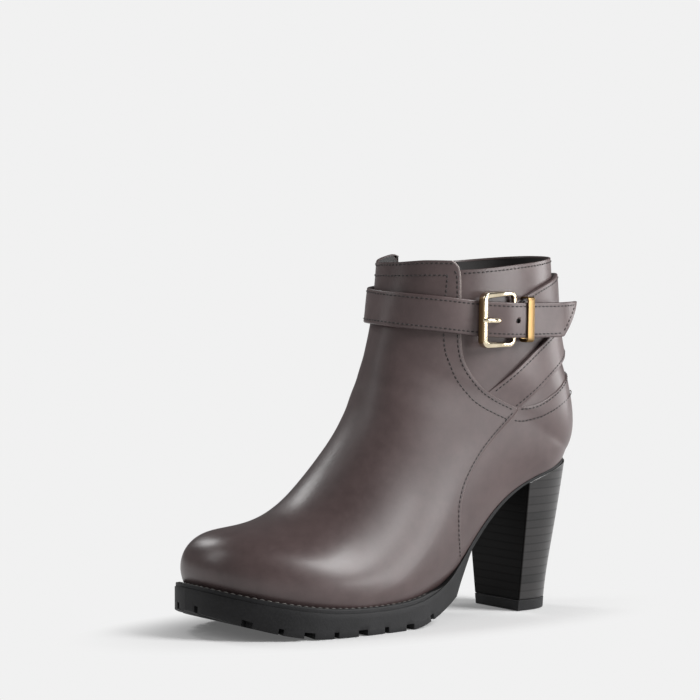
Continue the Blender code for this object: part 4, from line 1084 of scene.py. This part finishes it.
prong = {"radius": 1.25, "path": ((80.6, 150.9, 3.0), (79.4, 150.9, 5.4), (77.0, 151.0, 7.0),
                                  (72.0, 151.3, 8.2), (66.0, 151.5, 8.7), (62.6, 151.6, 8.2))}


def prongGrid():                               # round bar along its path, flatter and finer to its tip
    path = np.asarray(prong["path"])
    spots, normals = onAnkle(path[:, 0], path[:, 1], path[:, 2])
    run = np.linspace(0.0, 1.0, len(path))
    fine = np.linspace(0.0, 1.0, 60)
    spots = spline(run, spots)(fine)
    normals = unit(spline(run, normals)(fine))
    ahead = unit(np.gradient(spots, axis=0))
    side = unit(np.cross(normals, ahead))
    up = np.cross(ahead, side)
    turn = np.linspace(0.0, 2.0 * math.pi, 16, endpoint=False)
    thin = 1.0 - 0.22 * ease(fine, 0.55, 1.0)
    tip = np.sqrt(1.0 - ease(fine, 0.96, 1.0) ** 2 * 0.9)
    ring = side[:, None] * np.cos(turn)[:, None] + up[:, None] * np.sin(turn)[:, None] * 0.85
    return capped(spots[:, None] + ring * (prong["radius"] * thin * tip * mm)[:, None, None])


keeper = {"angle": 108.5, "middle": 151.0, "lift": 4.3, "across": 6.8, "tall": 23.0, "corner": 1.6,
          "wide": 4.4, "wall": 1.0}


def keeperGrid():                              # flat band carried round the strap
    spot, outward = onAnkle(keeper["angle"], keeper["middle"], keeper["lift"])
    x, y, z = axesFrom(outward, uprightAt(keeper["angle"], keeper["middle"], 8.0))
    points, outs = loopPath(keeper["across"], keeper["tall"], keeper["corner"], 14, 7)
    section = roundedSection(keeper["wall"], keeper["wide"], 0.28, 3, 5)
    flat = points[:, None, :] + outs[:, None, :] * (section[:, 0] - keeper["wall"] / 2.0)[None, :, None]
    along = section[None, :, 1] + 0.0 * flat[..., 0]
    return spot + (flat[..., :1] * x + flat[..., 1:] * y + along[..., None] * z) * mm


frontWay = unit(frontSpot - backSpot)
frontFace = (frontSpot + backSpot) @ frontWay / 2.0 + buckle["long"] / 2.0 * mm
# frame's front face painted in the dark colour: a painted dark reflection
frameGold = goldFinish("frameGold", {**gold, "dark": (0.3, 0.2, 0.1), "paintedReflectionDark": 0.9, "sideRough": 0.18},
                       (tuple(frontWay), frontFace))
for name, grid, closed, finish, slot, node in (
        ("buckleFrame", buckleGrid(), True, frameGold, "buckle_gold", "buckle_frame"),
        ("buckleProng", prongGrid(), False, polishedGold, "prong_gold", "buckle_prong"),
        ("strapKeeper", keeperGrid(), True, keeperGold, "keeper_gold", "buckle_keeper")):
    addPiece(name, [(grid, closed, True)], finish, stands=(node,), solid=True)

# Sole, welt and insole

sole = {"thin": 3.2, "seatThin": 1.2, "seatFront": 46.0, "treadBack": 124.0, "treadFront": 176.0,
        "spring": 16.5, "toeRun": 60.0, "arch": 0.0409, "platformEnd": 80.0, "platformSlope": 2.0,
        "ledge": ((0.0, 0.1), (30.0, 0.3), (80.0, 0.6), (88.0, 1.6), (96.0, 3.6), (106.0, 5.2), (118.0, 6.0),
                  (240.0, 6.0)),
        "notches": ((227.0, 2.6), (214.0, 5.5), (200.0, 2.6), (186.0, 5.5), (171.5, 2.6), (157.0, 5.5),
                    (142.0, 2.6), (127.0, 5.5), (110.0, 2.6)),
        "slots": (206.0, 193.0, 179.0, 164.5, 149.5, 134.5, 118.5), "slotLong": 30.0, "slotWide": 2.6,
        "lugDeep": 3.0, "lugReach": 13.0, "lugTall": 20.0, "bevel": 0.4, "sharp": 35.0}


def ledge(s):                                  # how far the sole stands out past the upper
    rows = np.asarray(sole["ledge"])
    return np.interp(s, rows[:, 0], rows[:, 1])


def tread(s):                                  # flat under the ball, sprung at the toe, thin behind
    share = np.clip((s - sole["seatFront"]) / (sole["platformEnd"] - sole["seatFront"]), 0.0, 1.0)
    thick = sole["seatThin"] + (sole["thin"] - sole["seatThin"]) * share
    thin = seatCurve(np.minimum(s, sole["platformEnd"]))[..., 0] - thick
    slope = thin - sole["platformSlope"] * np.maximum(s - sole["platformEnd"], 0.0)
    toe = sole["spring"] * (np.maximum(s - sole["treadFront"], 0.0) / sole["toeRun"]) ** 1.8
    arch = sole["arch"] * np.maximum(sole["treadBack"] - s, 0.0) ** 1.64
    return np.where(s < sole["platformEnd"], thin, np.maximum(np.maximum(toe, arch), slope))


def footprint(side, offset):                   # plan edge from toe tip to heel, moved outward
    turn = np.linspace(2.0, 2.0 - 2.0 * side, 160)
    toeS, toeW, _ = upperFace(np.zeros_like(turn), turn)
    edgeS, _, outer, inner = footOf(np.linspace(0.0, 1.0, 260)[1:])
    s = np.concatenate([toeS, edgeS])
    w = np.concatenate([toeW, outer if side > 0 else -inner])
    ds, dw = np.gradient(s), np.gradient(w)
    reach = (offset(s) if callable(offset) else offset) / np.hypot(ds, dw)
    edge = np.column_stack([s + side * dw * reach, w - side * ds * reach])
    edge[-1, 1] = 0.0
    return edge


def layerGrid(offset, low, high, count, inset):        # loops across the foot, from heel to toe
    outer, inner = footprint(1.0, offset)[::-1], footprint(-1.0, offset)[::-1]
    share = 0.5 - 0.5 * np.cos(np.linspace(0.0, math.pi, count))
    share = 0.55 * share + 0.45 * np.linspace(0.0, 1.0, count)
    share[1] = share[1] * 0.35
    share[-2] = 1.0 - (1.0 - share[-2]) * 0.35
    s = outer[0, 0] + (outer[-1, 0] - outer[0, 0]) * share
    left, right = np.interp(s, outer[:, 0], outer[:, 1]), np.interp(s, inner[:, 0], inner[:, 1])
    top, side = np.linspace(0.0, 1.0, 13), np.linspace(0.0, 1.0, inset)
    v = np.concatenate([top, np.ones(inset - 2), top[::-1], np.zeros(inset - 2)])
    k = np.concatenate([np.ones(13), side[-2:0:-1], np.zeros(13), side[1:-1]])
    w = right[:, None] + (left - right)[:, None] * v
    z = low(s)[:, None] + (high(s) - low(s))[:, None] * k
    return place(s[:, None] + 0.0 * w, w, z)


def lugBoxes():                                # one box per notch and slot, turned to the edge and the tread
    cuts = []
    for side in (1.0, -1.0):
        edge = footprint(side, ledge)
        slope = np.gradient(edge, axis=0)
        for station, wide in sole["notches"]:
            i = int(np.argmin(np.abs(edge[:, 0] - station)))
            heading = math.atan2(side * slope[i, 1], -side * slope[i, 0])
            cuts.append((*edge[i], heading, 2.0 * sole["lugReach"], wide))
    cuts += [(station, -2.0, 0.0, sole["slotLong"], sole["slotWide"]) for station in sole["slots"]]
    s, w, away, length, wide = np.array(cuts).T
    x = np.array([-1, 1, 1, -1, -1, 1, 1, -1])[None] * length[:, None] / 2.0
    y = np.array([-1, -1, 1, 1, -1, -1, 1, 1])[None] * wide[:, None] / 2.0
    up = np.array([0, 0, 0, 0, 1, 1, 1, 1])[None] * sole["lugTall"] + (sole["lugDeep"] - sole["lugTall"])
    up = up + 0.0 * x
    turnedX = x * np.cos(away)[:, None] + y * np.sin(away)[:, None]
    turnedY = -x * np.sin(away)[:, None] + y * np.cos(away)[:, None]
    pitch = -np.arctan((tread(s + 1.0) - tread(s - 1.0)) / 2.0)[:, None]
    rolledY = turnedY * np.cos(pitch) - up * np.sin(pitch)
    rolledZ = turnedY * np.sin(pitch) + up * np.cos(pitch)
    centre = place(s, w, tread(s))[:, None, :]
    points = centre + np.stack([turnedX, rolledY, rolledZ], -1) * mm
    box = np.array([(3, 2, 1, 0), (4, 5, 6, 7), (0, 1, 5, 4), (1, 2, 6, 5), (2, 3, 7, 6), (3, 0, 4, 7)])
    quads = (box[None] + 8 * np.arange(len(s))[:, None, None]).reshape(-1, 4)
    return meshFrom("lugBoxes", points.reshape(-1, 3), quads)


def soleTop(s):
    return seat(s) - boot["gap"]


soleGrid = layerGrid(ledge, tread, soleTop, 150, 5)
outsole = addPiece("outsole", [(soleGrid, False, True)], rubber, stands=("outsole",),
                   solid=True, sharp=sole["sharp"])
cutAway(outsole, lugBoxes())
softenEdges(outsole, sole["bevel"], 40.0, 2, False)
cutSole = settle(outsole)
smoothShade(cutSole, sole["sharp"])
print("lugs cut", len(cutSole.polygons), "faces")

welt = {"inner": 1.2, "outer": 0.5, "thick": 2.3, "end": 101.0, "taper": 14.0, "round": 0.75,
        "stitchIn": 1.55, "stitchEnds": 14}


def weltEdge():                                # sole's plan edge, from waist to waist round the toe
    outer, inner = footprint(1.0, 0.0), footprint(-1.0, 0.0)
    edge = np.concatenate([outer[outer[:, 0] > welt["end"]][::-1], inner[inner[:, 0] > welt["end"]][1:]])
    run = runAlong(edge)
    slope = np.gradient(edge, axis=0)
    out = np.column_stack([-slope[:, 1], slope[:, 0]])
    even = np.linspace(0.0, run[-1], 300)
    edge = np.column_stack([np.interp(even, run, edge[:, i]) for i in range(2)])
    out = unit(np.column_stack([np.interp(even, run, out[:, i]) for i in range(2)]))
    return edge, out


def weltGrid():                                # rounded strip, carried along the edge
    edge, out = weltEdge()
    reach = ledge(edge[:, 0]) - welt["outer"]
    wide = reach - welt["inner"]
    turn = np.linspace(0.0, math.pi / 2.0, 6)
    thick, r = welt["thick"], welt["round"]
    across = np.concatenate([[0.0, 0.0], [0.35, 0.7], 1.0 * np.ones(6), [1.0]])
    back = np.concatenate([[0.0, 0.0], [0.0, 0.0], r * (1.0 - np.sin(turn)), [0.0]])
    up = np.concatenate([[0.0, thick], [thick] * 2, thick - r * (1.0 - np.cos(turn)), [0.0]])
    taper = ease(edge[:, 0], welt["end"], welt["end"] + welt["taper"])
    away = welt["inner"] + across[None] * wide[:, None] - back[None]
    spot = edge[:, None, :] + out[:, None, :] * away[..., None]
    height = soleTop(spot[..., 0]) + 0.02 + up[None] * (0.15 + 0.85 * taper[:, None])
    return capped(place(spot[..., 0], spot[..., 1], height))


def weltRow():                                 # line of stitches along the welt's top
    edge, out = weltEdge()
    reach = ledge(edge[:, 0]) - welt["outer"] - welt["stitchIn"]
    spot = edge + out * reach[:, None]
    points = place(spot[:, 0], spot[:, 1], soleTop(spot[:, 0]) + welt["thick"] + 0.12)
    points = points[welt["stitchEnds"]:-welt["stitchEnds"]]
    return points, np.tile((0.0, 0.0, 1.0), (len(points), 1))


addPiece("welt", [(weltGrid(), False, True)], rubber, stands=("welt",), solid=True)
addStitches("weltStitches", [weltRow()], weltThread,
            {**stitchLook, "long": 2.5, "pitch": 3.6, "half": 0.42})

insole = {"inset": 2.9, "thick": 2.5}


def insoleTop(s):
    return seat(s) + insole["thick"]


insoleGrid = layerGrid(-insole["inset"], seat, insoleTop, 110, 4)
addPiece("insole", [(insoleGrid, False, True)], lining, stands=("insole",), solid=True,
         sharp=50.0)

# Heel: level slices, flat in front and round behind, narrowing to the floor

heel = {"breast": 43.0, "bottomHalf": 18.0, "topHalf": 27.2, "square": 2.5, "topPiece": 5.5, "levels": 60,
        "back": ((0.0, 17.8), (8.0, 17.6), (25.0, 15.6), (47.5, 11.6), (77.0, 6.8)), "bevel": 0.6,
        "topBevel": 0.35, "bevelFrom": 60.0}


def heelGrid(low, high, levels):               # squarish half rings, the top ones cut to the sole
    rows = np.asarray(heel["back"])
    top = rows[-1, 0]
    backCurve = spline(rows[:, 0], rows[:, 1])
    k = np.linspace(0.0, 1.0, levels)[:, None]
    nominal = low + (min(high, top) - low) * k
    depth = heel["breast"] - backCurve(nominal[:, 0])
    half = heel["bottomHalf"] + (heel["topHalf"] - heel["bottomHalf"]) * nominal / top
    turn = np.linspace(-math.pi / 2.0, math.pi / 2.0, 81)
    power = 2.0 / heel["square"]
    share = np.concatenate([np.abs(np.cos(turn)) ** power, np.zeros(15)])
    wide = np.concatenate([np.sign(turn) * np.abs(np.sin(turn)) ** power, np.linspace(1.0, -1.0, 17)[1:-1]])
    share[[0, 80]] = 0.0
    s = heel["breast"] - depth * share[None]
    w = half * wide[None]
    ceiling = np.minimum(high, tread(s) - boot["gap"] + 0.28)
    return capped(place(s, w, low + (ceiling - low) * k))


stackGrid = heelGrid(heel["topPiece"] + 0.1, heel["back"][-1][0], heel["levels"])
heelStack = addPiece("heelStack", [(stackGrid, False, True)], stack,
                     stands=("heel_stack",), solid=True, sharp=50.0)
liftGrid = heelGrid(0.0, heel["topPiece"], 4)
topPiece = addPiece("heelTopPiece", [(liftGrid, False, True)], rubber,
                    stands=("heel_top_piece",), solid=True, sharp=50.0)
softenEdges(heelStack, heel["bevel"], heel["bevelFrom"])
softenEdges(topPiece, heel["topBevel"], heel["bevelFrom"])

# Studio: camera at the photo's angle, pale floor and soft boxes

studio = {"camera": (1.1439, -0.8036, 0.2034), "forward": (-0.8170, 0.5767, 0.0),
          "right": (0.5767, 0.8170, 0.0), "aside": -0.014243, "down": -0.048483, "lens": 143.2,
          "pale": 0.879, "ambient": 0.13, "floorNear": 0.71, "floorGlow": 0.1,
          "shadowScale": (17.0, 8.0, 1.0), "shadowEdge": (0.85, 1.45), "middle": (0.0, 0.0, 0.08),
          "boxes": (("keyBox", (1.17, 0.94, 0.43), (0.58, 0.85), 28.0),    # place as seen, size, watts
                    ("lowBox", (1.22, 0.12, 0.45), (0.6, 0.18), 4.6),
                    ("rightBox", (1.27, 0.28, -0.59), (0.6, 0.8), 8.0),
                    ("toeBox", (-0.82, 0.98, -0.69), (0.36, 0.36), 4.4),
                    ("leftBox", (-1.11, 0.88, 0.3), (0.5, 0.8), 4.0))}
camera = bpy.data.objects.new("camera", bpy.data.cameras.new("camera"))
bpy.context.scene.collection.objects.link(camera)
gaze = Vector(studio["forward"]) + studio["aside"] * Vector(studio["right"])
gaze = gaze + studio["down"] * Vector((0, 0, 1))
camera.location = studio["camera"]
camera.rotation_euler = gaze.to_track_quat("-Z", "Y").to_euler()
camera.data.lens = studio["lens"]
camera.data.sensor_width = 36.0
camera.data.clip_end = 50.0
bpy.context.scene.camera = camera
bpy.context.scene.view_settings.view_transform = "Standard"


def addFloor():                                # flat grid, diffuse near the boot, even and bright far off
    side = np.linspace(-12.0, 12.0, 25)
    x, y = np.meshgrid(side, side, indexing="ij")
    grid = np.stack([x, y, 0.0 * x - 0.0002], -1)
    mesh = meshFrom("floor", grid.reshape(-1, 3), gridFaces(grid.shape[:2], 0, False, False))
    floor = bpy.data.objects.new("floor", mesh)
    bpy.context.scene.collection.objects.link(floor)
    material, spot, feed = startFinish("paleFloor", {
        "Roughness": 0.6, "Specular IOR Level": 0.1, "Emission Color": (1.0,) * 4,
        "Emission Strength": studio["floorGlow"]})
    dark, light = ((studio["floorNear"] + change,) * 3 for change in (-0.01, 0.01))
    feed("Base Color", spot.noise(3.0).step(0.2, 0.8).tint(dark, light))
    tree = material.node_tree
    around = spot.stretch(studio["shadowScale"])
    away = spot.node("ShaderNodeVectorMath", {"operation": "LENGTH"}, {0: around}, 1)
    glow = spot.node("ShaderNodeEmission", {}, {"Color": (studio["pale"],) * 3 + (1.0,), "Strength": 1.0})
    shader = Val(tree, tree.nodes["Principled BSDF"].outputs[0])
    both = spot.node("ShaderNodeMixShader", {}, {0: away.step(*studio["shadowEdge"]), 1: shader, 2: glow})
    spot.put(tree.nodes["Material Output"].inputs["Surface"], both)
    mesh.materials.append(material)


def addBox(name, spot, aim, size, power):      # soft box facing a point
    light = bpy.data.lights.new(name, "AREA")
    light.shape = "RECTANGLE"
    light.size, light.size_y = size
    light.energy = power
    lamp = bpy.data.objects.new(name, light)
    lamp.location = spot
    lamp.rotation_euler = (Vector(aim) - Vector(spot)).to_track_quat("-Z", "Y").to_euler()
    bpy.context.scene.collection.objects.link(lamp)


def fromCamera(right, up, toward):             # spot given as seen: to the right, up, and towards the camera
    spot = Vector(studio["right"]) * right - Vector(studio["forward"]) * toward
    return spot.x, spot.y, up


addFloor()
for name, spot, size, power in studio["boxes"]:
    addBox(name, fromCamera(*spot), studio["middle"], size, power)
world = bpy.data.worlds.new("studio")
bpy.context.scene.world = world
world.use_nodes = True
sky = world.node_tree
backdrop = Val(sky, sky.nodes.new("ShaderNodeLightPath").outputs["Is Camera Ray"])
tone = backdrop * (studio["pale"] - studio["ambient"]) + studio["ambient"]
backdrop.put(sky.nodes["Background"].inputs["Strength"], tone)
sky.nodes["Background"].inputs["Color"].default_value = (1.0, 1.0, 1.0, 1.0)
print("studio ready")
